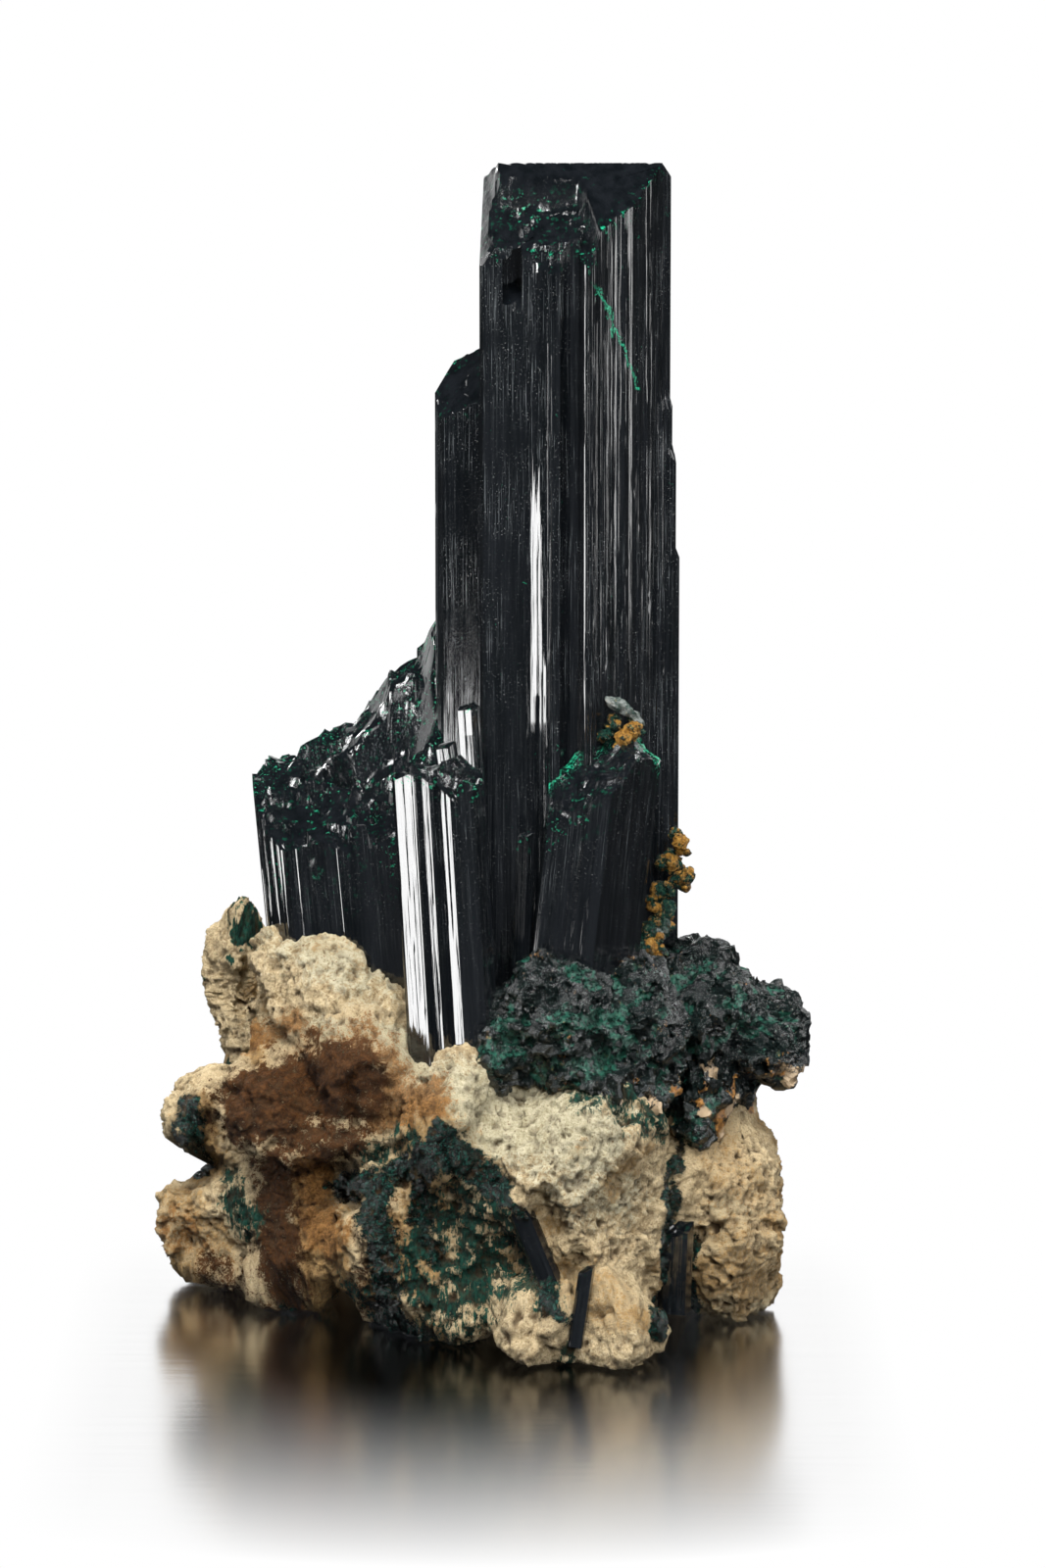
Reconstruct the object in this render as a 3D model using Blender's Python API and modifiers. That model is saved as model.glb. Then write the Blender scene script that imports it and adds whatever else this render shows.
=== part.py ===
"""A cabinet specimen of atacamite: black-green prisms on a buff, iron-stained host rock.

One tall prism with a roof-shaped end stands at the right of the middle, with a narrower one
close behind its left edge. Broken and leaning prisms stand round its foot, a granular green
crust covers the rock on the right, and the rock itself is a lumpy mass with a flat underside.

Every size in the tables is in millimetres. X runs to the viewer's right, Y away from the viewer
and Z up; the origin is on the surface that the specimen rests on, under the middle of its box.
"""

import math

import bmesh
import bpy
import numpy as np
from mathutils import Matrix, Vector, noise

MM = 0.001

# Driving dimensions.
SEAT_GAP = 0.34  # clearance between two touching pieces
ROCK_VOXEL = 0.62  # cell of the mesh that fuses the boulders
CRUST_VOXEL = 0.5
ROCK_TRIANGLES = 4300
CRUST_TRIANGLES = 1400
ROCK_RELIEF = ((6.5, 1.0, False), (3.4, 0.9, True), (1.9, 0.5, True))  # grain, height, creased
CRUST_RELIEF = ((3.4, 0.9, True), (1.7, 0.5, True))
RIDGE_TOP = 78.0  # height of the tall prism's chisel edge
RIDGE_Y = 1.9  # depth at which that edge runs
DOME_SLOPE = math.radians(37.0)  # fall of atacamite's two {011} end faces
ROOT_Z = 13.0  # the big prisms are rooted this high in the rock

# Boulders of the host rock: centre, half-sizes, seed of the flat faces.
ROCK_BOULDERS = {
    "core": ((0.5, 3.5, 8.5), (15.5, 12.5, 11.0), 1),
    "seat": ((-0.5, 0.0, 15.5), (9.0, 9.5, 6.2), 2),
    "seat_front": ((-2.0, -10.2, 14.6), (5.2, 6.8, 6.4), 3),
    "front_block": ((6.0, -8.8, 9.0), (7.8, 10.6, 10.4), 4),
    "front_top": ((6.0, -10.6, 14.6), (6.2, 5.8, 4.6), 5),
    "foot_right": ((9.0, -15.6, 2.0), (3.3, 4.9, 3.4), 6),
    "foot_middle": ((4.0, -15.2, 2.0), (4.2, 4.6, 3.4), 7),
    "green_bulge": ((-3.4, -8.6, 5.6), (7.2, 8.2, 8.2), 8),
    "brown_boss": ((-10.2, -3.4, 14.2), (7.4, 8.4, 5.8), 9),
    "brown_corner": ((-14.4, -5.8, 14.6), (3.6, 3.8, 3.2), 10),
    "brown_foot": ((-12.0, -1.6, 5.2), (6.0, 6.2, 6.8), 11),
    "left_foot": ((-18.8, 5.0, 3.6), (5.8, 6.6, 4.6), 12),
    "left_knob": ((-18.6, 4.0, 12.0), (3.8, 5.0, 3.8), 13),
    "left_waist": ((-15.4, 4.4, 7.4), (4.8, 6.2, 6.2), 14),
    "shoulder": ((-9.9, 0.6, 21.4), (6.2, 7.8, 6.8), 15),
    "shoulder_front": ((-6.4, -6.2, 18.6), (5.4, 6.0, 4.4), 16),
    "rear_column": ((-17.4, 14.6, 21.0), (2.7, 4.0, 5.2), 17),
    "rear_column_foot": ((-15.6, 13.6, 14.4), (3.2, 4.4, 6.2), 18),
    "right_block": ((16.6, -2.4, 6.8), (4.7, 9.8, 9.2), 19),
    "right_block_foot": ((17.4, -1.6, 3.0), (3.9, 8.2, 4.6), 20),
    "rear_left": ((-7.0, 12.6, 8.4), (9.4, 6.4, 10.0), 21),
    "rear_right": ((9.0, 11.6, 8.4), (9.6, 7.2, 9.8), 22),
    "rear_seat": ((-7.6, 8.6, 17.6), (7.6, 5.4, 5.4), 24),
    "under_ledge": ((13.6, 2.6, 12.6), (5.4, 7.0, 6.4), 23),
}

# Hollows worn into the host rock: centre and half-sizes.
ROCK_HOLLOWS = {
    "pocket_top": ((4.2, -18.6, 9.9), (1.3, 3.6, 2.2)),
    "pocket_middle": ((5.0, -19.0, 7.0), (1.5, 4.2, 2.6)),
    "pocket_foot": ((6.4, -19.6, 3.9), (1.5, 3.6, 2.6)),
    "top_hollow": ((9.8, -15.6, 17.2), (2.6, 3.4, 2.4)),
    "left_hollow": ((-19.2, -1.0, 11.2), (1.8, 2.6, 2.4)),
    "crevice": ((12.7, -13.0, 7.0), (1.0, 8.4, 9.5)),
    "under_boss": ((-10.6, -10.4, 8.8), (3.2, 3.6, 2.2)),
    "right_pit": ((18.8, -10.8, 6.9), (1.6, 2.4, 1.4)),
    "front_pit": ((11.0, -17.6, 4.6), (1.3, 2.6, 1.3)),
    "green_hollow": ((-8.4, -14.0, 3.0), (2.2, 3.4, 2.4)),
}

# Lumps of the granular green-black crust: centre, half-sizes, seed.
CRUST_LUMPS = {
    "mound": ((5.0, -8.0, 20.8), (5.2, 5.6, 5.4), 31),
    "mound_right": ((9.6, -6.6, 20.4), (5.0, 5.4, 4.8), 32),
    "knob": ((1.5, -11.2, 19.2), (2.0, 2.4, 2.6), 33),
    "skirt": ((8.4, -9.6, 17.6), (5.2, 4.4, 2.8), 34),
    "ledge": ((14.0, -0.4, 20.6), (5.2, 7.4, 4.6), 35),
    "ledge_tip": ((19.3, 0.4, 17.8), (4.2, 6.0, 3.7), 36),
    "ledge_keel": ((15.2, -1.6, 14.6), (3.6, 6.6, 4.8), 37),
    "behind_grains": ((11.4, 5.0, 21.6), (4.2, 6.4, 3.4), 38),
    "rear_collar": ((5.0, 9.6, 20.0), (7.6, 4.6, 4.2), 39),
}

# Outline of the tall prism seen from above, from its left front edge round to the right.
# Its left half has a flat front; the right half comes to an edge and recedes at 53 degrees.
TALL_OUTLINE = [
    (-0.1, -3.2), (0.4, -3.57), (5.3, -3.57), (5.95, -3.0), (6.5, -3.0), (6.93, -4.96),
    (8.88, -2.63), (10.1, -1.78), (10.7, -0.6), (11.65, 0.9), (12.75, 2.2), (12.4, 3.2),
    (9.6, 7.0), (7.2, 8.4), (2.6, 7.6), (0.2, 3.8),
]  # fmt: skip

# Thinner layers grown on the tall prism, each ending lower than the last: outline, top.
TALL_LAYERS = {
    "front_rib": ([(3.2, -3.2), (3.45, -3.75), (5.6, -5.0), (5.85, -3.1), (5.0, -2.6)], 71.8),
    "right_layer_1": ([(11.4, 0.2), (12.9, 1.6), (13.1, 3.0), (12.2, 4.2), (11.0, 2.6)], 62.0),
    "right_layer_2": ([(11.6, 0.0), (13.2, 1.5), (13.4, 2.9), (12.4, 4.5), (11.2, 2.6)], 58.4),
    "right_layer_3": ([(11.8, -0.2), (13.5, 1.4), (13.7, 2.7), (12.6, 4.6), (11.3, 2.6)], 51.4),
    "back_layer": ([(3.2, 7.0), (8.8, 6.8), (7.8, 9.1), (4.4, 8.6)], 66.0),
}

REAR_OUTLINE = [(-3.0, 2.9), (-2.6, 2.3), (-0.4, 1.2), (-0.4, 6.6), (-1.9, 7.2), (-3.2, 5.0)]

BROKEN_OUTLINE = [
    (-15.3, 0.6), (-14.5, -2.0), (-12.0, -3.7), (-8.6, -4.4), (-5.0, -4.7), (-3.7, -3.0),
    (-3.7, 3.0), (-4.3, 8.4), (-9.0, 9.4), (-13.5, 7.0), (-15.5, 3.6),
]  # fmt: skip

# The slope it snapped along: its extent, and its heights at the front left, front right, rear
# left and rear right.
SNAP_X = (-18.0, 0.0)
SNAP_Y = (-8.0, 12.0)
SNAP_HEIGHTS = (34.3, 21.5, 32.3, 53.5)

# The front left prism is deeply grooved, so its faces turn to and from the viewer in turn.
FRONT_LEFT_OUTLINE = [
    (-3.05, 0.6), (-3.05, -0.5), (-2.8, -0.8), (-1.3, -1.85), (-0.2, -1.3), (0.35, -1.75),
    (0.95, -1.45), (1.9, -2.2), (3.05, -1.0), (2.95, 1.5), (0.2, 2.7), (-2.4, 2.1),
]  # fmt: skip

FRONT_RIGHT_OUTLINE = [
    (-3.6, 0.6), (-3.45, -0.9), (-1.6, -1.5), (0.3, -2.6), (1.4, -1.7), (3.5, -0.5),
    (3.7, 1.2), (2.1, 3.0), (-2.0, 3.2), (-3.6, 2.0),
]  # fmt: skip

NEEDLE_OUTLINE = [(-0.75, 0.1), (-0.45, -0.5), (0.35, -0.75), (0.75, -0.1), (0.4, 0.7), (-0.4, 0.6)]

# Small blocky grains stained orange by iron, down the right foot of the tall prism:
# centre, half-size, seed.
STAINED_GRAINS = [
    ((13.0, -0.6, 32.0), 1.0, 51), ((13.2, -0.8, 30.6), 1.05, 52), ((12.6, -1.2, 29.6), 1.2, 53),
    ((12.6, -1.5, 28.0), 1.25, 54), ((11.8, -2.1, 26.8), 1.2, 55), ((11.1, -2.8, 25.4), 1.2, 56),
    ((10.2, -4.3, 24.6), 1.2, 57), ((11.3, -3.5, 23.6), 1.1, 58),
]  # fmt: skip

PERCHED_GRAINS = [((9.6, -4.4, 39.8), 1.3, 61), ((9.4, -4.3, 41.3), 1.1, 62), ((10.3, -4.1, 40.9), 0.9, 63)]

BLACK_GREEN = (0.012, 0.026, 0.022)
CRUST_GREEN = (0.030, 0.085, 0.062)
BUFF = (0.560, 0.420, 0.250)
RUST = (0.520, 0.240, 0.060)


def clear_scene():
    """Removes every object of the scene that Blender starts with."""
    for obj in list(bpy.data.objects):
        bpy.data.objects.remove(obj, do_unlink=True)


def new_collection(name):
    made = bpy.data.collections.new(name)
    bpy.context.scene.collection.children.link(made)
    return made


def new_material(name, colour, roughness):
    """A plain Principled finish for one piece."""
    made = bpy.data.materials.new(name)
    made.use_nodes = True
    shader = made.node_tree.nodes["Principled BSDF"]
    shader.inputs["Base Color"].default_value = (*colour, 1.0)
    shader.inputs["Roughness"].default_value = roughness
    shader.inputs["Metallic"].default_value = 0.0
    return made


def move_to(obj, collection):
    for home in list(obj.users_collection):
        home.objects.unlink(obj)
    collection.objects.link(obj)


def as_cutter(obj, cutters):
    """Files a helper away: it is drawn as wire and never rendered."""
    move_to(obj, cutters)
    obj.hide_render = True
    obj.display_type = "WIRE"
    return obj


def bake(obj):
    """Replaces the object's mesh by what its modifiers make of it."""
    graph = bpy.context.evaluated_depsgraph_get()
    mesh = bpy.data.meshes.new_from_object(obj.evaluated_get(graph))
    obj.modifiers.clear()
    obj.data = mesh
    return obj


def boolean(obj, other, operation):
    step = obj.modifiers.new(operation.lower(), "BOOLEAN")
    step.operation = operation
    step.solver = "EXACT"
    step.object = other
    return bake(obj)


def keep_largest_body(obj):
    """Drops the loose chips that a cut can leave beside the main body."""
    shape = bmesh.new()
    shape.from_mesh(obj.data)
    unseen = set(shape.verts)
    bodies = []
    while unseen:
        body, edge = set(), [unseen.pop()]
        while edge:
            vertex = edge.pop()
            body.add(vertex)
            near = {e.other_vert(vertex) for e in vertex.link_edges} & unseen
            unseen -= near
            edge.extend(near)
        bodies.append(body)
    bodies.sort(key=len)
    loose = [v for body in bodies[:-1] for v in body]
    bmesh.ops.delete(shape, geom=loose, context="VERTS")
    shape.to_mesh(obj.data)
    shape.free()
    return obj


def flat_faces(directions, seed, count, crispness):
    """Distance from the centre to a boulder with flat faces, along each unit direction.

    It is a unit ball whose sides are cut by planes at random directions and depths, blended:
    r = (1 + sum of (d.n / h)^p) ^ (-1/p), over the planes with d.n above 0.
    """
    rng = np.random.default_rng(seed)
    normals = rng.normal(size=(count, 3))
    normals /= np.linalg.norm(normals, axis=1)[:, None]
    heights = rng.uniform(0.62, 0.92, count)
    facing = np.maximum(directions @ normals.T, 0.0) / heights
    return (1.0 + (facing**crispness).sum(axis=1)) ** (-1.0 / crispness)


def boulder(name, centre, half_sizes, seed, collection, detail=4, count=12, crispness=18):
    """An icosphere pulled in to a boulder with rounded flat faces."""
    bpy.ops.mesh.primitive_ico_sphere_add(subdivisions=detail, radius=1.0)
    obj = bpy.context.object
    obj.name = name
    points = np.empty(len(obj.data.vertices) * 3)
    obj.data.vertices.foreach_get("co", points)
    points = points.reshape(-1, 3)
    points *= flat_faces(points, seed, count, crispness)[:, None]
    points *= np.array(half_sizes) * MM
    obj.data.vertices.foreach_set("co", points.ravel())
    obj.location = Vector(centre) * MM
    move_to(obj, collection)
    return obj


def joined(name, objects, collection):
    """One object that holds all these meshes, in world space."""
    merged = bmesh.new()
    bpy.context.view_layer.update()
    for obj in objects:
        mesh = obj.data.copy()
        mesh.transform(obj.matrix_world)
        merged.from_mesh(mesh)
        bpy.data.meshes.remove(mesh)
        bpy.data.objects.remove(obj, do_unlink=True)
    mesh = bpy.data.meshes.new(name)
    merged.to_mesh(mesh)
    merged.free()
    made = bpy.data.objects.new(name, mesh)
    collection.objects.link(made)
    return made


def skinned(obj, voxel):
    """One even skin over the object, with cells of that size."""
    skin = obj.modifiers.new("skin", "REMESH")
    skin.mode = "VOXEL"
    skin.voxel_size = voxel * MM
    return bake(obj)


def fused(name, objects, voxel, collection):
    """One skin round all the overlapping lumps."""
    return skinned(joined(name, objects, collection), voxel)


def wavering(points, seed):
    """Smooth noise of about -1 to 1, with one hill or hollow to each unit of length.

    Every corner of the unit lattice is given a random slope, and a point takes the blend of what
    the slopes at the eight corners round it say.
    """
    rng = np.random.default_rng(seed)
    order = rng.permutation(256)
    slopes = rng.normal(size=(256, 3))
    slopes /= np.linalg.norm(slopes, axis=1)[:, None]
    cell = np.floor(points).astype(int)
    inside = points - cell
    ease = inside**3 * (inside * (inside * 6 - 15) + 10)
    total = np.zeros(len(points))
    for corner in np.ndindex(2, 2, 2):
        at = (cell + corner) & 255
        pick = order[(order[(order[at[:, 0]] + at[:, 1]) & 255] + at[:, 2]) & 255]
        share = np.where(corner, ease, 1 - ease).prod(axis=1)
        total += share * (slopes[pick] * (inside - corner)).sum(axis=1)
    return total * 1.6


def roughened(obj, layers, seed):
    """Pushes the surface in and out by noise; each layer has a grain and a height."""
    count = len(obj.data.vertices)
    points, normals = np.empty(count * 3), np.empty(count * 3)
    obj.data.vertices.foreach_get("co", points)
    obj.data.vertices.foreach_get("normal", normals)
    points, normals = points.reshape(-1, 3), normals.reshape(-1, 3)
    push = np.zeros(count)
    for i, (grain, height, creased) in enumerate(layers):
        wave = wavering(points / (grain * MM) + 40.0, seed + i)
        push += height * MM * (0.35 - np.abs(wave) * 1.4 if creased else wave)
    obj.data.vertices.foreach_set("co", (points + normals * push[:, None]).ravel())
    obj.data.update()
    return obj


def thinned(obj, triangles):
    """Fewer, larger facets, as a broken rock shows from a step away."""
    obj.data.calc_loop_triangles()
    thin = obj.modifiers.new("thin", "DECIMATE")
    thin.ratio = triangles / len(obj.data.loop_triangles)
    thin.use_collapse_triangulate = True
    return bake(obj)


def grown(obj, gap, cutters):
    """A copy whose surface stands that far outside the original, to cut its neighbours with."""
    copy = bpy.data.objects.new(f"{obj.name}_grown", obj.data.copy())
    cutters.objects.link(copy)
    push = copy.modifiers.new("gap", "DISPLACE")
    push.mid_level = 0.0
    push.strength = gap * MM
    return as_cutter(bake(copy), cutters)


def stepped(outline, pitch, height, seed):
    """The outline with small growth steps along every face longer than two pitches."""
    rng = np.random.default_rng(seed)
    points = []
    for here, there in zip(outline, outline[1:] + outline[:1], strict=True):
        along = np.array(there) - np.array(here)
        length = float(np.linalg.norm(along))
        outward = np.array((along[1], -along[0])) / length
        points.append(tuple(here))
        steps = int(length / pitch)
        for i in range(1, steps):
            lift = height * rng.uniform(0.35, 1.0) * (1 if i % 2 else -1)
            share = (i + rng.uniform(-0.3, 0.3)) / steps
            points.append(tuple(np.array(here) + along * share + outward * lift))
    return points


def prism(name, outline, foot, top, collection):
    """A solid on that outline, from one height to another. The outline runs counterclockwise."""
    shape = bmesh.new()
    ring = [shape.verts.new((x * MM, y * MM, foot * MM)) for x, y in outline]
    base = shape.faces.new(reversed(ring))
    raised = bmesh.ops.extrude_face_region(shape, geom=[base], use_keep_orig=True)
    lifted = [v for v in raised["geom"] if isinstance(v, bmesh.types.BMVert)]
    bmesh.ops.translate(shape, verts=lifted, vec=(0, 0, (top - foot) * MM))
    bmesh.ops.recalc_face_normals(shape, faces=shape.faces)
    mesh = bpy.data.meshes.new(name)
    shape.to_mesh(mesh)
    shape.free()
    made = bpy.data.objects.new(name, mesh)
    collection.objects.link(made)
    return made


def wrapped(outline, gap):
    """The outline's convex wrap, moved outwards by the gap."""
    points = sorted(set(map(tuple, outline)))
    wrap = []
    for run in (points, points[::-1]):
        side = []
        for p in run:
            while len(side) > 1:
                (ax, ay), (bx, by) = side[-2], side[-1]
                if (bx - ax) * (p[1] - ay) - (by - ay) * (p[0] - ax) > 1e-9:
                    break
                side.pop()
            side.append(p)
        wrap += side[:-1]
    ring = np.array(wrap)
    ahead = np.roll(ring, -1, axis=0) - ring
    normals = np.stack((ahead[:, 1], -ahead[:, 0]), axis=1)
    normals /= np.linalg.norm(normals, axis=1)[:, None]
    behind = np.roll(normals, 1, axis=0)
    share = 1.0 + (normals * behind).sum(axis=1)
    return [tuple(p) for p in ring + (normals + behind) / share[:, None] * gap]


def placed(obj, at, lean_right, lean_back=0.0):
    """Stands the object at a point, tilted to the right and to the back, in degrees."""
    tilt = Matrix.Rotation(math.radians(lean_right), 4, "Y")
    tilt @= Matrix.Rotation(math.radians(-lean_back), 4, "X")
    obj.matrix_world = Matrix.Translation(Vector(at) * MM) @ tilt
    return obj


def break_block(name, point, normal, size, relief, seed, cutters):
    """A cutter with a bumpy underside through the point, which leaves a fracture there."""
    cells = 9
    shape = bmesh.new()
    sheet = bmesh.ops.create_grid(shape, x_segments=cells, y_segments=cells, size=size / 2 * MM)
    for v in sheet["verts"]:
        spot = Vector((v.co.x, v.co.y, seed * 7.1 * MM)) / (size * 0.22 * MM)
        v.co.z = relief * MM * noise.noise(spot)
    raised = bmesh.ops.extrude_face_region(shape, geom=list(shape.faces), use_keep_orig=True)
    for v in raised["geom"]:
        if isinstance(v, bmesh.types.BMVert):
            v.co.z = size * MM
    bmesh.ops.recalc_face_normals(shape, faces=shape.faces)
    mesh = bpy.data.meshes.new(name)
    shape.to_mesh(mesh)
    shape.free()
    obj = bpy.data.objects.new(name, mesh)
    cutters.objects.link(obj)
    turn = Vector((0, 0, 1)).rotation_difference(Vector(normal)).to_matrix().to_4x4()
    obj.matrix_world = Matrix.Translation(Vector(point) * MM) @ turn
    bpy.context.view_layer.update()
    return as_cutter(obj, cutters)


def fracture_sheet(name, span_x, span_y, heights, relief, seed, cutters):
    """A cutter whose bumpy underside is stretched between four corner heights.

    The heights are those of the front left, front right, rear left and rear right corner.
    """
    cells = 12
    shape = bmesh.new()
    sheet = bmesh.ops.create_grid(shape, x_segments=cells, y_segments=cells, size=0.5)
    fl, fr, rl, rr = heights
    for v in sheet["verts"]:
        u, w = v.co.x + 0.5, v.co.y + 0.5
        level = (fl * (1 - u) + fr * u) * (1 - w) + (rl * (1 - u) + rr * u) * w
        bump = noise.noise(Vector((u, w, seed * 0.37)) * 4.0)
        x = span_x[0] + (span_x[1] - span_x[0]) * u
        y = span_y[0] + (span_y[1] - span_y[0]) * w
        v.co = Vector((x, y, level + relief * bump)) * MM
    raised = bmesh.ops.extrude_face_region(shape, geom=list(shape.faces), use_keep_orig=True)
    for v in raised["geom"]:
        if isinstance(v, bmesh.types.BMVert):
            v.co.z = (max(heights) + 20) * MM
    bmesh.ops.recalc_face_normals(shape, faces=shape.faces)
    mesh = bpy.data.meshes.new(name)
    shape.to_mesh(mesh)
    shape.free()
    obj = bpy.data.objects.new(name, mesh)
    cutters.objects.link(obj)
    return as_cutter(obj, cutters)


def box_cutter(name, low, high, cutters):
    bpy.ops.mesh.primitive_cube_add(size=1.0)
    obj = bpy.context.object
    obj.name = name
    low, high = Vector(low) * MM, Vector(high) * MM
    obj.data.transform(Matrix.Translation((low + high) / 2) @ Matrix.Diagonal((*(high - low), 1)))
    return as_cutter(obj, cutters)


def standing(name, outline, foot, top, rooms, stone, cutters, at=(0, 0, 0), lean=(0.0, 0.0)):
    """A prism and the room that its neighbours leave for it: the same prism, wrapped and grown."""
    made = placed(prism(name, outline, foot, top, stone), at, *lean)
    room = prism(f"{name}_room", wrapped(outline, SEAT_GAP), foot - SEAT_GAP, top + SEAT_GAP, stone)
    rooms[name] = as_cutter(placed(room, at, *lean), cutters)
    bpy.context.view_layer.update()
    return made


def snapped(body, room, point, normal, size, relief, seed, cutters):
    """Breaks the body off along a bumpy plane, and its room along a flat one just above it."""
    bumpy = break_block(f"{body.name}_end", point, normal, size, relief, seed, cutters)
    boolean(body, bumpy, "DIFFERENCE")
    above = Vector(point) + Vector(normal).normalized() * (relief + SEAT_GAP)
    flat = break_block(f"{room.name}_end", above, normal, size * 2.0, 0.0, seed, cutters)
    boolean(room, flat, "DIFFERENCE")


def cleared(obj, rooms, *names):
    """Cuts the object back from the rooms of the named pieces."""
    for name in names:
        boolean(obj, rooms[name], "DIFFERENCE")
    return keep_largest_body(obj)


def tall_crystal(rooms, stone, cutters):
    """The main prism: a roof-shaped end, stepped side layers, a notch and a chipped corner."""
    top = RIDGE_TOP + 2.0
    body = standing(
        "tall_crystal", stepped(TALL_OUTLINE, 0.95, 0.13, 1), ROOT_Z, top, rooms, stone, cutters
    )
    for name, (outline, layer_top) in TALL_LAYERS.items():
        layer = prism(name, outline, ROOT_Z + 1.0, layer_top, cutters)
        boolean(body, as_cutter(layer, cutters), "UNION")
    rise, run = math.cos(DOME_SLOPE), math.sin(DOME_SLOPE)
    for side in (-1, 1):
        face = break_block(
            "end_face", (6.5, RIDGE_Y, RIDGE_TOP), (0, side * run, rise), 34, 0.0, 1, cutters
        )
        boolean(body, face, "DIFFERENCE")
    chip = break_block("chip", (0.7, -1.0, 75.7), (-0.80, -0.22, 0.55), 9, 0.9, 3, cutters)
    notch = box_cutter("notch", (1.6, -6.0, 69.4), (3.5, -1.2, 80.0), cutters)
    step = break_block("step", (4.4, -3.2, 73.6), (0.1, -0.62, 0.78), 3.4, 0.5, 4, cutters)
    undercut = break_block("undercut", (12.9, 0.6, 30.8), (0.80, -0.42, -0.42), 12, 0.7, 5, cutters)
    for cutter in (chip, notch, step, undercut):
        boolean(body, cutter, "DIFFERENCE")
    room_outline = TALL_OUTLINE + [p for outline, _ in TALL_LAYERS.values() for p in outline]
    room = prism("tall_room", wrapped(room_outline, SEAT_GAP), ROOT_Z - SEAT_GAP, top, cutters)
    rooms["tall_crystal"] = as_cutter(room, cutters)
    return keep_largest_body(body)


def rear_crystal(rooms, stone, cutters):
    """The narrower prism behind the tall one's left edge, with a slanting end."""
    body = standing(
        "rear_crystal", stepped(REAR_OUTLINE, 0.9, 0.08, 2), ROOT_Z, 68, rooms, stone, cutters
    )
    room = rooms["rear_crystal"]
    snapped(body, room, (-1.6, 2.6, 61.6), (-0.46, -0.44, 0.77), 16, 0.25, 6, cutters)
    return cleared(body, rooms, "tall_crystal")


def broken_crystal(rooms, stone, cutters):
    """The thick stump at the left, snapped off along a twisted slope that climbs to the right."""
    body = standing(
        "broken_crystal", stepped(BROKEN_OUTLINE, 1.1, 0.16, 3), -8.0, 30, rooms, stone, cutters,
        at=(0.8, 0.0, 24.0), lean=(-5.0, 0.0),
    )  # fmt: skip
    room = rooms["broken_crystal"]
    for target, relief, lift in ((body, 1.8, 0.0), (room, 0.0, 1.8 + SEAT_GAP)):
        heights = [h + lift for h in SNAP_HEIGHTS]
        snap = fracture_sheet("snap", SNAP_X, SNAP_Y, heights, relief, 8, cutters)
        boolean(target, snap, "DIFFERENCE")
    return cleared(body, rooms, "tall_crystal", "rear_crystal")


def front_left_crystal(rooms, stone, cutters):
    """The deeply grooved prism that leans a little to the left, with a ragged end."""
    body = standing(
        "front_left_crystal", FRONT_LEFT_OUTLINE, -6.0, 24, rooms, stone, cutters,
        at=(-1.75, -9.3, 18.3), lean=(-3.2, 0.0),
    )  # fmt: skip
    room = rooms["front_left_crystal"]
    snapped(body, room, (-2.9, -9.6, 38.0), (0.10, -0.20, 0.97), 12, 1.5, 9, cutters)
    return cleared(body, rooms, "tall_crystal", "broken_crystal")


def front_right_crystal(rooms, stone, cutters):
    """The stub that leans right against the tall prism, with a sloping fractured top."""
    body = standing(
        "front_right_crystal", stepped(FRONT_RIGHT_OUTLINE, 1.0, 0.12, 5), -4.0, 20, rooms,
        stone, cutters, at=(6.7, -6.6, 23.0), lean=(6.0, 0.0),
    )  # fmt: skip
    room = rooms["front_right_crystal"]
    snapped(body, room, (7.2, -7.0, 36.4), (-0.46, -0.34, 0.82), 18, 1.1, 10, cutters)
    snapped(body, room, (11.4, -6.0, 37.2), (0.62, -0.2, 0.75), 14, 0.7, 11, cutters)
    return cleared(body, rooms, "tall_crystal", "front_left_crystal")


def small_prisms(rooms, stone, cutters):
    """The needles and blades: name, width, place of the foot, length, lean and what they clear."""
    rows = [
        ("needle_tall", 1.05, (0.35, -4.3, 22.0), 19.8, (-3.5, 0.0)),
        ("needle_short", 0.95, (0.1, -5.9, 22.0), 17.4, (-8.0, 0.0)),
        ("small_blade", 0.8, (2.55, -7.2, 21.0), 12.6, (2.0, 0.0)),
        ("pocket_crystal", 0.95, (6.3, -18.0, 1.3), 5.2, (8.0, 4.0)),
        ("seam_blade", 1.1, (5.2, -16.2, 3.8), 6.6, (-22.0, 8.0)),
        ("crevice_crystal", 1.5, (13.0, -10.4, 1.6), 5.6, (2.0, 0.0)),
    ]
    made = {}
    for name, width, foot, length, lean in rows:
        outline = [(x * width, y * width) for x, y in NEEDLE_OUTLINE]
        body = standing(name, outline, 0.0, length + 0.6, rooms, stone, cutters, foot, lean)
        crown = Vector(foot) + Vector((math.sin(math.radians(lean[0])) * length, 0, length))
        end = break_block(f"{name}_end", crown, (-0.35, -0.25, 0.9), 4, 0.3, len(name), cutters)
        boolean(body, end, "DIFFERENCE")
        made[name] = body
    big = ("tall_crystal", "rear_crystal", "broken_crystal", "front_left_crystal")
    for name in ("needle_tall", "needle_short"):
        cleared(made[name], rooms, *big)
    cleared(made["small_blade"], rooms, *big, "front_right_crystal")
    return made


def grain_cluster(name, grains, rooms, stone, cutters, clears):
    """Blocky grains grown together, cut back from the prisms they sit on."""
    blocks = [
        boulder(f"{name}_{i}", centre, (r, r, r * 1.1), seed, cutters, 2, 9, 16)
        for i, (centre, r, seed) in enumerate(grains)
    ]
    body = fused(name, blocks, 0.28, stone)
    thinned(body, 56 * len(grains))
    cleared(body, rooms, *clears)
    rooms[name] = grown(body, SEAT_GAP * 1.1, cutters)
    return body


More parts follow.
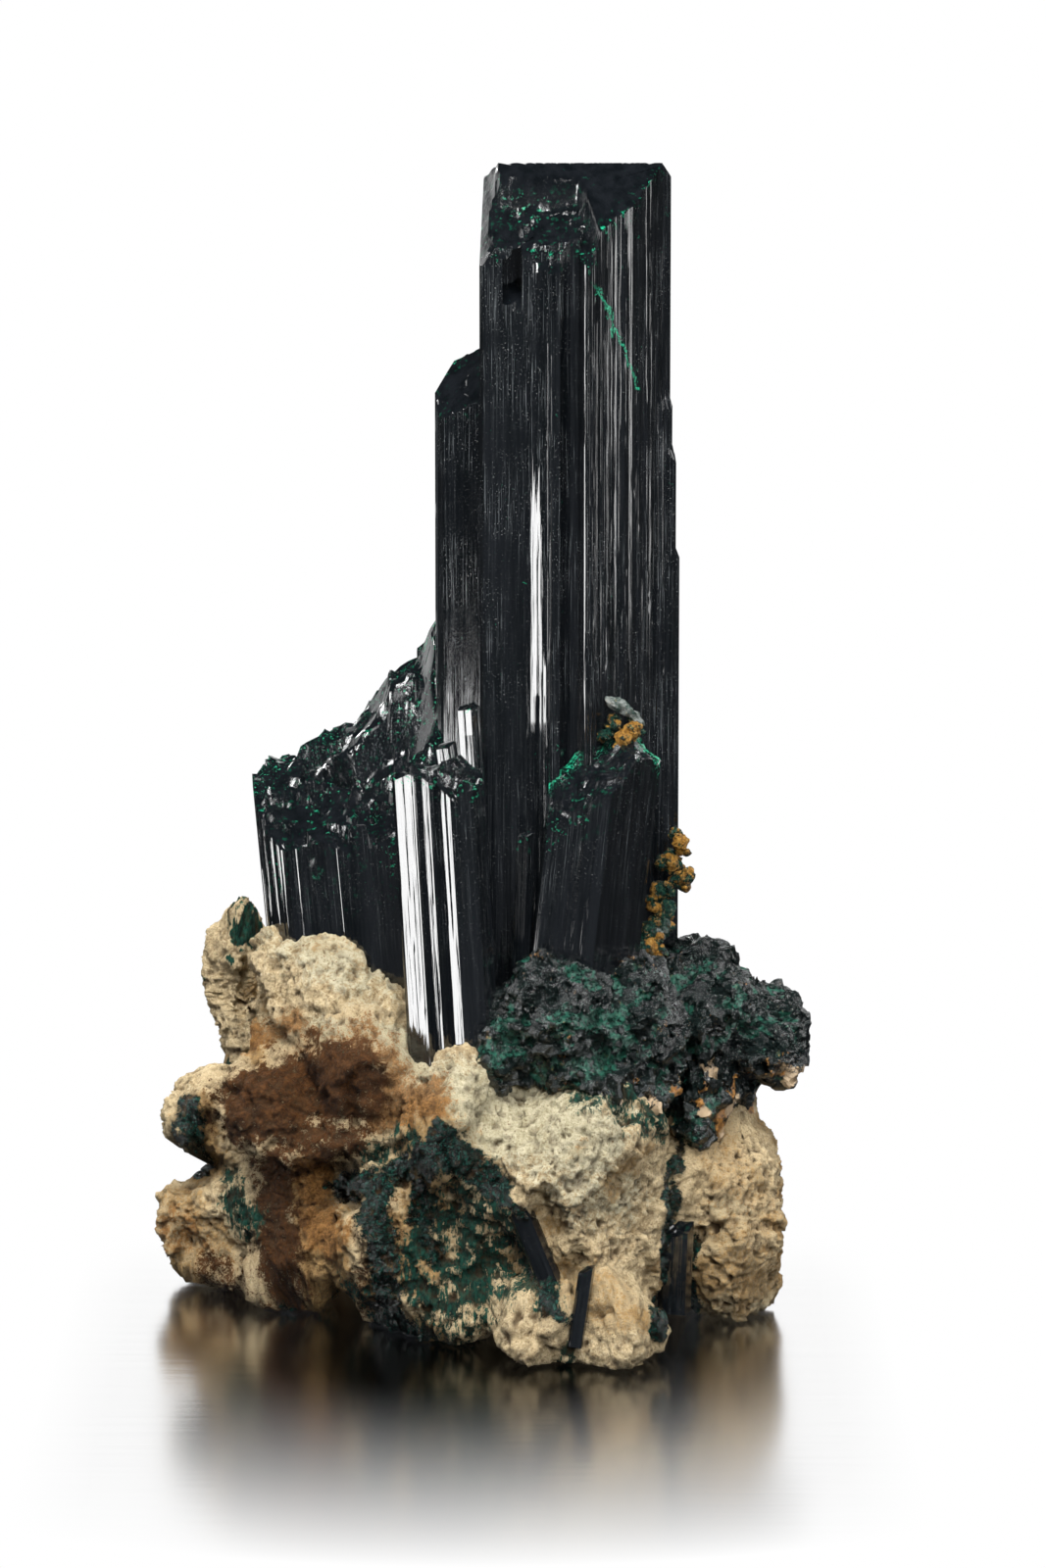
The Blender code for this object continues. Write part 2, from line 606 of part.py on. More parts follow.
def host_rock(stone, cutters):
    """The boulders fused, hollowed, roughened and sliced flat underneath."""
    boulders = [boulder(n, *row, cutters) for n, row in ROCK_BOULDERS.items()]
    rock = fused("matrix", boulders, ROCK_VOXEL, stone)
    for name, (centre, half_sizes) in ROCK_HOLLOWS.items():
        hollow = boulder(name, centre, half_sizes, 5, cutters, 2, 8, 6)
        bpy.context.view_layer.update()
        boolean(rock, as_cutter(hollow, cutters), "DIFFERENCE")
    skinned(rock, ROCK_VOXEL)
    roughened(rock, ROCK_RELIEF, 70)
    skinned(rock, ROCK_VOXEL)
    thinned(rock, ROCK_TRIANGLES)
    slab = box_cutter("slab", (-60, -60, -20), (60, 60, 0), cutters)
    boolean(rock, slab, "DIFFERENCE")
    return keep_largest_body(rock)


def green_crust(rock, rooms, stone, cutters):
    """The crust's lumps fused, roughened, and lifted clear of the rock they cover."""
    lumps = [boulder(n, *row, cutters) for n, row in CRUST_LUMPS.items()]
    crust = fused("crust", lumps, CRUST_VOXEL, stone)
    roughened(crust, CRUST_RELIEF, 80)
    skinned(crust, CRUST_VOXEL)
    thinned(crust, CRUST_TRIANGLES)
    boolean(crust, grown(rock, SEAT_GAP * 1.2, cutters), "DIFFERENCE")
    return cleared(crust, rooms, *rooms)


def centred(collection):
    """Slides all pieces together so that the middle of their box stands over the origin."""
    corners = [obj.matrix_world @ Vector(c) for obj in collection.objects for c in obj.bound_box]
    shift = Vector([-(min(c[i] for c in corners) + max(c[i] for c in corners)) / 2 for i in (0, 1)])
    for obj in collection.objects:
        obj.data.transform(obj.matrix_world)
        obj.data.transform(Matrix.Translation((*shift, 0.0)))
        obj.matrix_world = Matrix.Identity(4)


def finish(obj, material):
    """One material over the whole piece, with its broken edges left sharp."""
    obj.data.materials.clear()
    obj.data.materials.append(material)
    obj.data.shade_smooth()
    obj.data.set_sharp_from_angle(angle=math.radians(24))


def main():
    clear_scene()
    stone = new_collection("atacamite")
    cutters = new_collection("cutters")
    rooms = {}
    crystals = [
        build(rooms, stone, cutters)
        for build in (
            tall_crystal, rear_crystal, broken_crystal, front_left_crystal, front_right_crystal,
        )
    ]  # fmt: skip
    crystals += small_prisms(rooms, stone, cutters).values()
    big = ("tall_crystal", "front_right_crystal")
    stained = grain_cluster("stained_grains", STAINED_GRAINS, rooms, stone, cutters, big)
    perched = grain_cluster("perched_grain", PERCHED_GRAINS, rooms, stone, cutters, big)
    rock = host_rock(stone, cutters)
    crust = green_crust(rock, rooms, stone, cutters)
    cleared(rock, rooms, *rooms)
    centred(stone)
    black = new_material("atacamite_crystal", BLACK_GREEN, 0.22)
    for obj in crystals:
        finish(obj, black)
    finish(crust, new_material("atacamite_crust", CRUST_GREEN, 0.45))
    finish(rock, new_material("host_rock", BUFF, 0.90))
    rust = new_material("iron_stain", RUST, 0.70)
    finish(stained, rust)
    finish(perched, rust)


main()
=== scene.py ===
"""Dresses the atacamite specimen: striated black-green prisms, glittering crust, stained porous rock.

Lengths are in millimetres until a mesh is written. X runs to the viewer's right, Y away and Z up.
"""

import math

import bpy
import numpy as np
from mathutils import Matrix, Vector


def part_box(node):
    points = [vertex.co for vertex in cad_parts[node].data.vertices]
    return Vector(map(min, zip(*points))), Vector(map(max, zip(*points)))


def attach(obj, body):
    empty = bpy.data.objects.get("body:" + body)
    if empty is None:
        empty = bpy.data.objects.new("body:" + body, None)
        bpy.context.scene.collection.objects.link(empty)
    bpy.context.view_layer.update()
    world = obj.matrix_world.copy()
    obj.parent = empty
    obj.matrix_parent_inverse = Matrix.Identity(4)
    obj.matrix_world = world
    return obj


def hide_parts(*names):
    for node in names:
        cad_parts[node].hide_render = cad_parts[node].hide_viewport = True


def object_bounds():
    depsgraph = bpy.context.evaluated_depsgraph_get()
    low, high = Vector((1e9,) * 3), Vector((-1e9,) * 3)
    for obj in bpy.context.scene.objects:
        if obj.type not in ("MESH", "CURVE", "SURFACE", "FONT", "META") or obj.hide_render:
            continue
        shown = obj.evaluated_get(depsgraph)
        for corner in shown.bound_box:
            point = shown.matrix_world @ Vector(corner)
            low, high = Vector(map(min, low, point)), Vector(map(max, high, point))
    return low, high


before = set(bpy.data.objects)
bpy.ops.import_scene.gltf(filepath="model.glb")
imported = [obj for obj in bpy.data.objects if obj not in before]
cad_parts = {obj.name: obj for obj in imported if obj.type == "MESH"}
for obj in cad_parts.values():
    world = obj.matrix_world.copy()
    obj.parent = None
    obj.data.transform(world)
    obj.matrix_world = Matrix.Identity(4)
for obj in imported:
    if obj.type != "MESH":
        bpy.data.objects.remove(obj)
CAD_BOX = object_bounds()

MM = 0.001

# The specimen was laid out round the tall prism and then centred over its box. The prism's left
# side and its back stood at these places in the layout, which gives the slide.
LAYOUT_LEFT, LAYOUT_BACK = -0.1, 9.1
tall_low, tall_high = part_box("tall_crystal")
SLIDE = np.array((tall_low.x / MM - LAYOUT_LEFT, tall_high.y / MM - LAYOUT_BACK, 0.0))

# The view: what it aims at, how far away it is and how many degrees it looks down.
VIEW_AIM = np.array((2.8, 0.0, 35.85))
VIEW_DISTANCE, VIEW_RISE = 400.0, 10.0

# Masses of the host rock. Each has the middle that its skin is drawn from, the columns and rows of
# the skin, and its boulders: centre, half-sizes, seed of the flat faces.
ROCK_MASSES = {
    "front_block": (
        (6.0, -9.0, 8.5), 290, 150,
        (
            ((6.0, -8.8, 9.0), (7.8, 10.6, 10.4), 4),
            ((6.0, -10.6, 14.6), (6.2, 5.8, 4.6), 5),
            ((9.0, -15.6, 2.0), (3.3, 4.9, 3.4), 6),
            ((4.0, -15.2, 2.0), (4.2, 4.6, 3.4), 7),
        ),
    ),
    "green_flank": (
        (-3.0, -8.6, 9.0), 240, 150,
        (
            ((-3.4, -8.6, 5.6), (7.2, 8.2, 8.2), 8),
            ((-2.0, -10.2, 14.6), (5.2, 6.8, 6.4), 3),
        ),
    ),
    "brown_boss": (
        (-11.2, -2.8, 10.5), 240, 145,
        (
            ((-10.2, -3.4, 14.2), (7.4, 8.4, 5.8), 9),
            ((-14.4, -5.8, 14.6), (3.6, 3.8, 3.2), 10),
            ((-12.0, -1.6, 5.2), (6.0, 6.2, 6.8), 11),
            ((-14.4, -1.2, 1.8), (4.2, 4.6, 2.8), 25),
            ((-7.6, -8.2, 16.6), (3.6, 3.4, 3.2), 27),
        ),
    ),
    "left_foot": (
        (-17.4, 4.8, 7.5), 170, 120,
        (
            ((-18.4, 5.0, 3.4), (5.2, 6.2, 4.4), 12),
            ((-18.6, 4.0, 12.0), (3.8, 5.0, 3.8), 13),
            ((-15.4, 4.4, 7.4), (4.8, 6.2, 6.2), 14),
        ),
    ),
    "shoulder": (
        (-8.6, 0.5, 20.0), 230, 105,
        (
            ((-9.9, 0.6, 21.4), (6.2, 7.8, 6.8), 15),
            ((-6.4, -6.2, 18.6), (5.4, 6.0, 4.4), 16),
            ((-12.2, -1.4, 22.4), (4.4, 5.4, 4.6), 26),
        ),
    ),
    "back_shoulder": (
        (-7.6, 8.6, 17.0), 140, 80,
        (((-8.0, 8.4, 17.8), (7.8, 6.0, 6.2), 24),),
    ),
    "rear_column": (
        (-16.6, 14.1, 18.0), 110, 100,
        (
            ((-17.4, 14.6, 21.0), (2.7, 4.0, 5.2), 17),
            ((-15.6, 13.6, 14.4), (3.2, 4.4, 6.2), 18),
        ),
    ),
    "right_block": (
        (16.9, -2.2, 6.2), 200, 130,
        (
            ((16.4, -2.4, 6.6), (4.6, 9.6, 9.0), 19),
            ((17.2, -1.6, 3.0), (3.7, 8.2, 4.6), 20),
        ),
    ),
    "rock_core": (
        (1.0, 4.0, 10.0), 150, 70,
        (
            ((0.5, 3.5, 8.5), (15.5, 12.5, 11.0), 1),
            ((-0.5, 0.0, 15.5), (9.0, 9.5, 6.2), 2),
            ((13.6, 2.6, 12.6), (5.4, 7.0, 6.4), 23),
        ),
    ),
    "rear_left": (
        (-7.0, 12.0, 8.4), 140, 84,
        (((-7.0, 12.6, 8.4), (9.4, 6.4, 10.0), 21),),
    ),
    "rear_right": (
        (9.0, 11.0, 8.4), 140, 84,
        (((9.0, 11.6, 8.4), (9.6, 7.2, 9.8), 22),),
    ),
}  # fmt: skip
ROCK_HOLLOWS = (
    ((4.2, -18.6, 9.9), (1.3, 3.6, 2.2), 5),
    ((5.0, -19.0, 7.0), (1.5, 4.2, 2.6), 5),
    ((6.4, -19.6, 3.9), (1.5, 3.6, 2.6), 5),
    ((9.8, -15.6, 17.2), (2.6, 3.4, 2.4), 5),
    ((-19.2, -1.0, 11.2), (1.8, 2.6, 2.4), 5),
    ((12.7, -13.0, 7.0), (1.0, 8.4, 9.5), 5),
    ((-10.6, -10.4, 8.8), (3.2, 3.6, 2.2), 5),
    ((18.8, -10.8, 6.9), (1.6, 2.4, 1.4), 5),
    ((11.0, -17.6, 4.6), (1.3, 2.6, 1.3), 5),
    ((-8.4, -14.0, 3.0), (2.2, 3.4, 2.4), 5),
)
CRUST_MASSES = {
    "crust_mound": (
        (6.5, -6.5, 20.0), 270, 120,
        (
            ((5.0, -8.0, 20.8), (5.2, 5.6, 5.4), 31),
            ((9.6, -6.6, 20.4), (5.0, 5.4, 4.8), 32),
            ((1.5, -11.2, 19.2), (2.0, 2.4, 2.6), 33),
            ((8.4, -9.6, 17.6), (5.2, 4.4, 2.8), 34),
        ),
    ),
    "crust_ledge": (
        (15.0, 0.0, 19.2), 240, 105,
        (
            ((14.0, -0.4, 20.6), (5.2, 7.4, 4.6), 35),
            ((19.3, 0.4, 17.8), (4.2, 6.0, 3.7), 36),
            ((15.2, -1.6, 14.6), (3.6, 6.6, 4.8), 37),
            ((11.4, 5.0, 21.6), (4.2, 6.4, 3.4), 38),
        ),
    ),
    "rear_collar": (
        (5.0, 9.6, 20.0), 110, 60,
        (((5.0, 9.6, 20.0), (7.6, 4.6, 4.2), 39),),
    ),
}  # fmt: skip


def smooth(low, high, value):
    """0 below low, 1 above high, and an S-shaped rise between."""
    share = np.clip((value - low) / (high - low), 0.0, 1.0)
    return share * share * (3 - 2 * share)


def hills(points, seed):
    """Noise of about -1 to 1, with one hill or hollow to each unit of length.

    Every corner of the unit lattice is given a random slope, and a point takes the blend of what
    the slopes at the eight corners round it say.
    """
    rng = np.random.default_rng(seed)
    order = rng.permutation(256)
    slopes = rng.normal(size=(256, 3))
    slopes /= np.linalg.norm(slopes, axis=1)[:, None]
    cell = np.floor(points).astype(int)
    inside = points - cell
    ease = inside**3 * (inside * (inside * 6 - 15) + 10)
    total = np.zeros(points.shape[:-1])
    for corner in np.ndindex(2, 2, 2):
        at = (cell + corner) & 255
        pick = order[(order[(order[at[..., 0]] + at[..., 1]) & 255] + at[..., 2]) & 255]
        share = np.where(corner, ease, 1 - ease).prod(axis=-1)
        total += share * (slopes[pick] * (inside - corner)).sum(axis=-1)
    return total * 1.6


def clouds(points, octaves, seed):
    """Hills on hills: each finer layer has twice the detail and half the height."""
    layers = [hills(points * 2**i + 11.7 * i, seed + i) * 0.5**i for i in range(octaves)]
    return sum(layers)


def creases(points, seed):
    """Sharp ridges: 0.35 less 1.4 times the unsigned noise."""
    return 0.35 - 1.4 * np.abs(hills(points, seed))


def cells(points, seed):
    """Splits space between seeds strewn one to a unit cell.

    Gives the distance to the nearest seed, that seed's number, and how high a plane through the
    seed, with a slope of the seed's own, stands at the point.
    """
    rng = np.random.default_rng(seed)
    order = rng.permutation(256)
    spots = rng.random((256, 3))
    slopes = rng.normal(size=(256, 3))
    worth = rng.random(256)
    cell = np.floor(points).astype(int)
    nearest = np.full(points.shape[:-1], 9.0)
    chosen = np.zeros(points.shape[:-1], int)
    level = np.zeros(points.shape[:-1])
    for step in np.ndindex(3, 3, 3):
        at = cell + np.array(step) - 1
        pick = order[(order[(order[at[..., 0] & 255] + at[..., 1]) & 255] + at[..., 2]) & 255]
        offset = points - at - spots[pick]
        away = (offset * offset).sum(axis=-1)
        closer = away < nearest
        nearest = np.where(closer, away, nearest)
        chosen = np.where(closer, pick, chosen)
        level = np.where(closer, (offset * slopes[pick]).sum(axis=-1), level)
    return np.sqrt(nearest), worth[chosen], level


def facets(points, seed):
    """Broken flat faces, about -1 to 1: each cell's own step and its own slope."""
    _, number, level = cells(points, seed)
    return number - 0.5 + 0.6 * level


def lump_field(points, lumps, melt=1.2):
    """How far each point lies outside the nearest lump; below 0 it is inside.

    A lump is a ball cut by random planes, r = (1 + sum of (d.n / h)^16) ^ (-1/16), stretched to
    its half-sizes; the field is (|q| / r - 1) times the lump's least half-size. Lumps run into
    each other over the melting width.
    """
    nearest = np.full(len(points), 99.0, np.float32)
    for centre, half_sizes, seed in lumps:
        rng = np.random.default_rng(seed)
        normals = rng.normal(size=(12, 3))
        normals /= np.linalg.norm(normals, axis=1)[:, None]
        heights = rng.uniform(0.62, 0.92, 12)
        spot = (points - centre) / half_sizes
        length = np.linalg.norm(spot, axis=1) + 1e-6
        facing = np.maximum(spot @ (normals / heights[:, None]).T, 0.0) / length[:, None]
        power = facing * facing
        power *= power
        power *= power
        power *= power
        radius = (1.0 + power.sum(axis=1)) ** (-1 / 16)
        outside = (length / radius - 1.0) * min(half_sizes)
        blend = np.clip(0.5 + (nearest - outside) / (2 * melt), 0, 1)
        nearest = nearest * (1 - blend) + outside * blend - melt * blend * (1 - blend)
    return nearest


def touching(lump, others):
    """Whether a lump's ball comes near the ball of any of the others."""
    centre, half_sizes, _ = lump
    gaps = (
        math.dist(centre, other[0]) - max(half_sizes) - max(other[1]) for other in others
    )
    return min(gaps) < 1.0


def within_box(points):
    """Eases what would stand out of the specimen's box back into its last millimetre."""
    reach = np.array((CAD_BOX[1].x, CAD_BOX[1].y)) / MM - 0.9
    flat = np.abs(points[:, :2])
    eased = reach + 0.85 * (1 - np.exp(-np.maximum(flat - reach, 0) / 0.85))
    points[:, :2] = np.sign(points[:, :2]) * np.where(flat > reach, eased, flat)
    return points


def write_mesh(name, points, quads, triangles, values, finish, sharp=None):
    """Puts points in millimetres of the layout, faces and per-point values into a new object."""
    mesh = bpy.data.meshes.new(name)
    mesh.vertices.add(len(points))
    mesh.vertices.foreach_set("co", (within_box(points + SLIDE) * MM).astype(np.float32).ravel())
    corners = np.concatenate((quads.ravel(), triangles.ravel()))
    mesh.loops.add(len(corners))
    mesh.loops.foreach_set("vertex_index", corners.astype(np.int32))
    mesh.polygons.add(len(quads) + len(triangles))
    starts = np.concatenate((np.arange(len(quads)) * 4, quads.size + np.arange(len(triangles)) * 3))
    mesh.polygons.foreach_set("loop_start", starts.astype(np.int32))
    mesh.update(calc_edges=True)
    mesh.validate()
    for key, value in values.items():
        if value.ndim == 2:
            layer = mesh.attributes.new(key, "FLOAT_VECTOR", "POINT")
            layer.data.foreach_set("vector", value.astype(np.float32).ravel())
        else:
            layer = mesh.attributes.new(key, "FLOAT", "POINT")
            layer.data.foreach_set("value", value.astype(np.float32))
    mesh.shade_smooth()
    if sharp:
        mesh.set_sharp_from_angle(angle=math.radians(sharp))
    mesh.materials.append(finish)
    made = bpy.data.objects.new(name, mesh)
    bpy.context.scene.collection.objects.link(made)
    return made


def tube_faces(rows, columns):
    """Faces of a tube of rows by columns points, closed by a pole before and one after it."""
    row, column = np.meshgrid(np.arange(rows - 1), np.arange(columns), indexing="ij")
    here, beside = row * columns + column, row * columns + (column + 1) % columns
    quads = np.stack((here, beside, beside + columns, here + columns), axis=-1).reshape(-1, 4)
    ring = np.arange(columns)
    after = (ring + 1) % columns
    first, last = rows * columns, rows * columns + 1
    low = np.stack((np.full(columns, first), after, ring), axis=-1)
    top = (rows - 1) * columns
    high = np.stack((ring + top, after + top, np.full(columns, last)), axis=-1)
    return quads, np.concatenate((low, high))


def grid_normals(points):
    """Unit normals of a grid of points that wraps round in its second direction."""
    along = np.gradient(points, axis=0)
    around = np.roll(points, -1, axis=1) - np.roll(points, 1, axis=1)
    normals = np.cross(around, along)
    return normals / (np.linalg.norm(normals, axis=-1)[..., None] + 1e-9)


def directions(columns, rows, polar, crowd):
    """Unit vectors round the upright axis, closer together in front, from nadir to zenith."""
    u = np.arange(columns) / columns
    round_angle = -math.pi / 2 + 2 * math.pi * u - crowd * np.sin(2 * math.pi * u)
    tilt = np.radians(180 - np.interp((np.arange(rows) + 0.5) / rows, *polar))
    around, up = np.meshgrid(round_angle, tilt)
    return np.stack((np.sin(up) * np.cos(around), np.sin(up) * np.sin(around), np.cos(up)), -1)


def star_surface(centre, spread, field, columns, rows, polar=((0, 0.05, 0.95, 1), (0, 35, 158, 180)),
                 crowd=0.4):
    """The skin of a field seen from inside: p = centre + t * spread * direction(u, v).

    For each direction of a grid with half the columns and rows, t starts far out and moves in by
    what the field says is still free. The full grid takes its t from between those.
    """
    half = directions(columns // 2, rows // 2, polar, crowd) * spread
    reach = half.reshape(-1, 3).astype(np.float32)
    length = np.linalg.norm(reach, axis=1)
    t = 30.0 / length
    for _ in range(20):
        t -= 0.85 * field(centre + reach * t[:, None]) / length
        t = np.clip(t, 0.3 / length, None)
    t = t.reshape(half.shape[:2])
    row = np.clip((np.arange(rows) + 0.5) * len(t) / rows - 0.5, 0, len(t) - 1.001)
    low = row.astype(int)
    t = t[low] + (t[low + 1] - t[low]) * (row - low)[:, None]
    column = np.arange(columns) * t.shape[1] / columns
    left = column.astype(int)
    right = (left + 1) % t.shape[1]
    t = t[:, left] + (t[:, right] - t[:, left]) * (column - left)
    return centre + directions(columns, rows, polar, crowd) * spread * t[..., None]


def with_poles(points):
    """The grid's points in one list, followed by the middles of its first and last rows."""
    ends = [points[0].mean(axis=0), points[-1].mean(axis=0)]
    return np.concatenate((points.reshape(-1, 3), ends))


def front_view(points):
    """Where points show in the view from the front: millimetres right of and above its middle."""
    from_aim = points - VIEW_AIM
    rise = math.radians(VIEW_RISE)
    up = from_aim[..., 2] * math.cos(rise) + from_aim[..., 1] * math.sin(rise)
    depth = VIEW_DISTANCE + from_aim[..., 1] * math.cos(rise) - from_aim[..., 2] * math.sin(rise)
    return np.stack((from_aim[..., 0], up), axis=-1) * (VIEW_DISTANCE / depth)[..., None]


def stroke(view, line, width, ragged):
    """1 within the width of a line drawn in the front view, with an edge that noise moves."""
    away = np.full(view.shape[:-1], 99.0)
    for start, stop in zip(line, line[1:]):
        start, span = np.array(start), np.array(stop) - np.array(start)
        share = np.clip(((view - start) @ span) / (span @ span), 0, 1)
        away = np.minimum(away, np.linalg.norm(view - start - share[..., None] * span, axis=-1))
    return 1 - smooth(width * 0.3, width * 1.4 + 0.3, away + ragged)


def stained(points, strokes, edge, back):
    """The strongest of the strokes of each stain, on what lies in front of a depth, as shares."""
    view = front_view(points)
    ahead = 1 - smooth(back - 1.5, back + 1.5, points[..., 1])
    shares = {}
    for stain, strength, width, line in strokes:
        share = strength * stroke(view, line, width, edge * min(0.4 + width * 0.25, 1.4)) * ahead
        shares[stain] = np.maximum(shares.get(stain, 0.0), share)
    return shares


# Stains on the rock as the front view shows them, and black strokes of painted shade down the crevice: kind,
# strength, half-width, line.
ROCK_STAINS_AND_CREVICE_SHADE = (
    ("iron", 1.0, 3.0, ((-18.3, -22.3), (-15.6, -20.7), (-11.9, -20.0))),
    ("iron", 0.8, 1.6, ((-15.6, -24.0), (-12.0, -24.3))),
    ("iron", 0.6, 1.8, ((-9.6, -28.6), (-10.6, -35.0))),
    ("iron", 0.9, 1.7, ((-17.0, -26.3), (-16.2, -35.3))),
    ("iron", 0.6, 1.3, ((-21.2, -32.7), (-19.6, -34.7))),
    ("rust", 0.8, 3.0, ((-14.6, -19.7), (-11.6, -18.7), (-9.6, -20.3))),
    ("rust", 0.9, 1.7, ((-9.2, -22.0), (-6.4, -21.2))),
    ("rust", 0.7, 0.9, ((-19.2, -17.7), (-15.6, -16.3))),
    ("rust", 0.8, 2.0, ((-14.4, -26.3), (-13.6, -30.7))),
    ("rust", 0.5, 1.7, ((-24.2, -30.3), (-20.2, -32.7))),
    ("ochre", 1.0, 2.4, ((-14.6, -27.3), (-13.2, -34.7))),
    ("ochre", 1.0, 1.6, ((-22.1, -22.7), (-21.2, -25.7))),
    ("ochre", 0.7, 2.7, ((-6.2, -23.3), (-7.6, -32.7))),
    ("ochre", 1.0, 1.6, ((-9.2, -30.0), (-9.9, -34.3))),
    ("ochre", 0.8, 0.8, ((-19.6, -14.0), (-18.1, -18.7))),
    ("ochre", 0.6, 2.0, ((-23.6, -29.3), (-22.9, -33.3))),
    ("ochre", 0.5, 2.0, ((1.8, -32.7), (5.8, -35.3))),
    ("chalk", 1.0, 3.5, ((-3.6, -21.3), (-0.9, -22.3), (3.8, -23.3))),
    ("chalk", 0.9, 1.3, ((-6.2, -20.7), (-8.9, -17.3), (-13.6, -17.0))),
    ("chalk", 1.0, 0.3, ((-8.6, -18.3), (-7.9, -20.7), (-8.9, -23.0))),
    ("chalk", 0.6, 2.8, ((1.8, -25.3), (5.8, -28.0))),
    ("chalk", 0.6, 2.8, ((-14.9, -10.7), (-10.9, -12.7))),
    ("chalk", 0.6, 0.8, ((13.4, -28.7), (15.4, -29.0))),
    ("chalk", 0.5, 0.8, ((14.1, -35.7), (16.1, -35.0))),
    ("black", 1.0, 1.1, ((-12.1, -27.6), (-9.6, -27.1), (-7.2, -26.0), (-5.6, -24.1), (-3.6, -26.0), (-1.9, -27.6))),
    ("black", 1.0, 0.5, ((-1.9, -27.6), (0.1, -29.5), (1.0, -32.3), (1.9, -35.7), (2.8, -36.5))),
    ("black", 0.8, 1.3, ((-10.1, -29.0), (-9.7, -33.3), (-8.8, -36.7), (-7.7, -38.5))),
    ("black", 0.8, 1.0, ((-6.9, -26.7), (-7.3, -29.3), (-6.2, -31.3))),
    ("black", 1.0, 1.3, ((-9.2, -36.7), (-7.6, -38.3))),
    ("black", 0.9, 0.8, ((-22.8, -21.9), (-22.9, -23.9), (-21.9, -25.7))),
    # The next two black strokes are painted shade: the dark gap of the crevice between the front and right blocks.
    ("black", 1.0, 0.4, ((11.2, -22.7), (10.6, -25.6), (10.0, -29.3), (9.9, -33.3), (9.2, -37.3))),
    ("black", 0.9, 0.7, ((11.4, -31.6), (11.0, -34.0), (11.4, -36.0))),
    ("ochre", 0.45, 2.6, ((13.2, -24.6), (14.6, -28.0), (14.0, -33.6))),
    ("black", 0.7, 0.5, ((-16.5, -35.3), (-16.0, -36.1))),
    ("green", 0.9, 2.0, ((-6.2, -28.7), (-6.8, -32.7), (-4.8, -36.7))),
    ("green", 0.8, 2.6, ((-3.6, -29.0), (-2.2, -33.3), (-4.2, -35.3))),
    ("green", 0.9, 1.0, ((-4.2, -26.0), (-0.2, -30.7), (1.8, -35.3))),
    ("green", 0.7, 1.0, ((-10.2, -25.3), (-8.2, -24.3), (-5.6, -26.0))),
    ("green", 0.9, 1.1, ((-19.9, -27.0), (-18.9, -29.7))),
    ("green", 0.8, 1.7, ((4.4, -20.3), (7.1, -21.7), (9.8, -22.7))),
    ("green", 0.7, 0.9, ((1.8, -20.0), (4.4, -20.7))),
    ("green", 0.8, 0.4, ((3.2, -37.9), (3.0, -39.7))),
    ("green", 0.6, 1.3, ((-9.6, -33.3), (-12.2, -35.3))),
    ("green", 0.4, 0.8, ((-21.2, -8.7), (-18.9, -10.7))),
)
STAIN_KINDS = ("iron", "rust", "ochre", "chalk", "black", "green")


def rock_skin(name):
    """Boulders less hollows, then lumps, broken faces, grains and pores, then the flat foot.

    Gives the points and how deep the fine relief lies below its mean, from 0 to 1.
    """
    centre, columns, rows, boulders = ROCK_MASSES[name]
    every = [boulder for *_, others in ROCK_MASSES.values() for boulder in others]
    near = [boulder for boulder in every if touching(boulder, boulders)]

    def field(points):
        own = lump_field(points, boulders) - 1.4
        solid = lump_field(points, near, 2.4) + 0.35
        return np.maximum(np.maximum(own, solid), -lump_field(points, ROCK_HOLLOWS))

    points = star_surface(np.array(centre), np.ones(3), field, columns, rows)
    push = 0.45 * hills(points / 6.5 + 40, 70) + 0.50 * facets(points / 4.2 + 40, 71)
    push += 0.30 * clouds(points / 2.2, 3, 72) + 0.20 * facets(points / 1.7, 73)
    points = points + grid_normals(points) * push[..., None]
    glitter = rock_colours(points)["black"]
    fine = 0.20 * clouds(points / 0.8, 4, 90) + 0.10 * facets(points / 0.7, 91)
    fine += glitter * (0.30 * facets(points / 1.1, 95) + 0.12 * facets(points / 0.5, 96) + 0.1)
    fine += 0.09 * clouds(points / 0.33, 2, 94)
    away, number, _ = cells(points / 1.5, 92)
    size = 0.10 + 0.18 * number
    fine -= 0.36 * (number > 0.62) * (1 - smooth(size * 0.5, size, away))
    away, number, _ = cells(points / 0.55, 93)
    fine -= 0.20 * (number > 0.55) * (1 - smooth(0.2, 0.36, away))
    points = points + grid_normals(points) * fine[..., None]
    points[..., 2] = np.maximum(points[..., 2], 0.0)
    return points, np.clip(0.45 - 1.9 * fine, 0, 1)


def rock_colours(points):
    """Shares of each stain from 0 to 1: drawn strokes in front, and clouds of stain behind; two black strokes are
    painted shade in the crevice.
    """
    edge = clouds(points / 2.4, 4, 104) + 0.45 * clouds(points / 0.8, 3, 108)
    speckle = clouds(points / 1.3, 3, 105)
    shares = stained(points, ROCK_STAINS_AND_CREVICE_SHADE, edge, 9.0)
    behind = smooth(6.0, 11.0, points[..., 1])
    low, high = clouds(points / 7.0, 2, 106), clouds(points / 5.0, 2, 107)
    shares["ochre"] = np.maximum(shares["ochre"], 0.6 * smooth(0.1, 0.6, low + 0.3 * speckle))
    shares["rust"] = np.maximum(shares["rust"], behind * smooth(0.2, 0.6, high + 0.3 * speckle))
    shares["green"] = np.maximum(shares["green"], behind * smooth(0.45, 0.8, -high + 0.4 * speckle))
    shares["green"] = shares["green"] * (0.5 + 0.5 * smooth(-0.25, 0.15, speckle))
    return shares


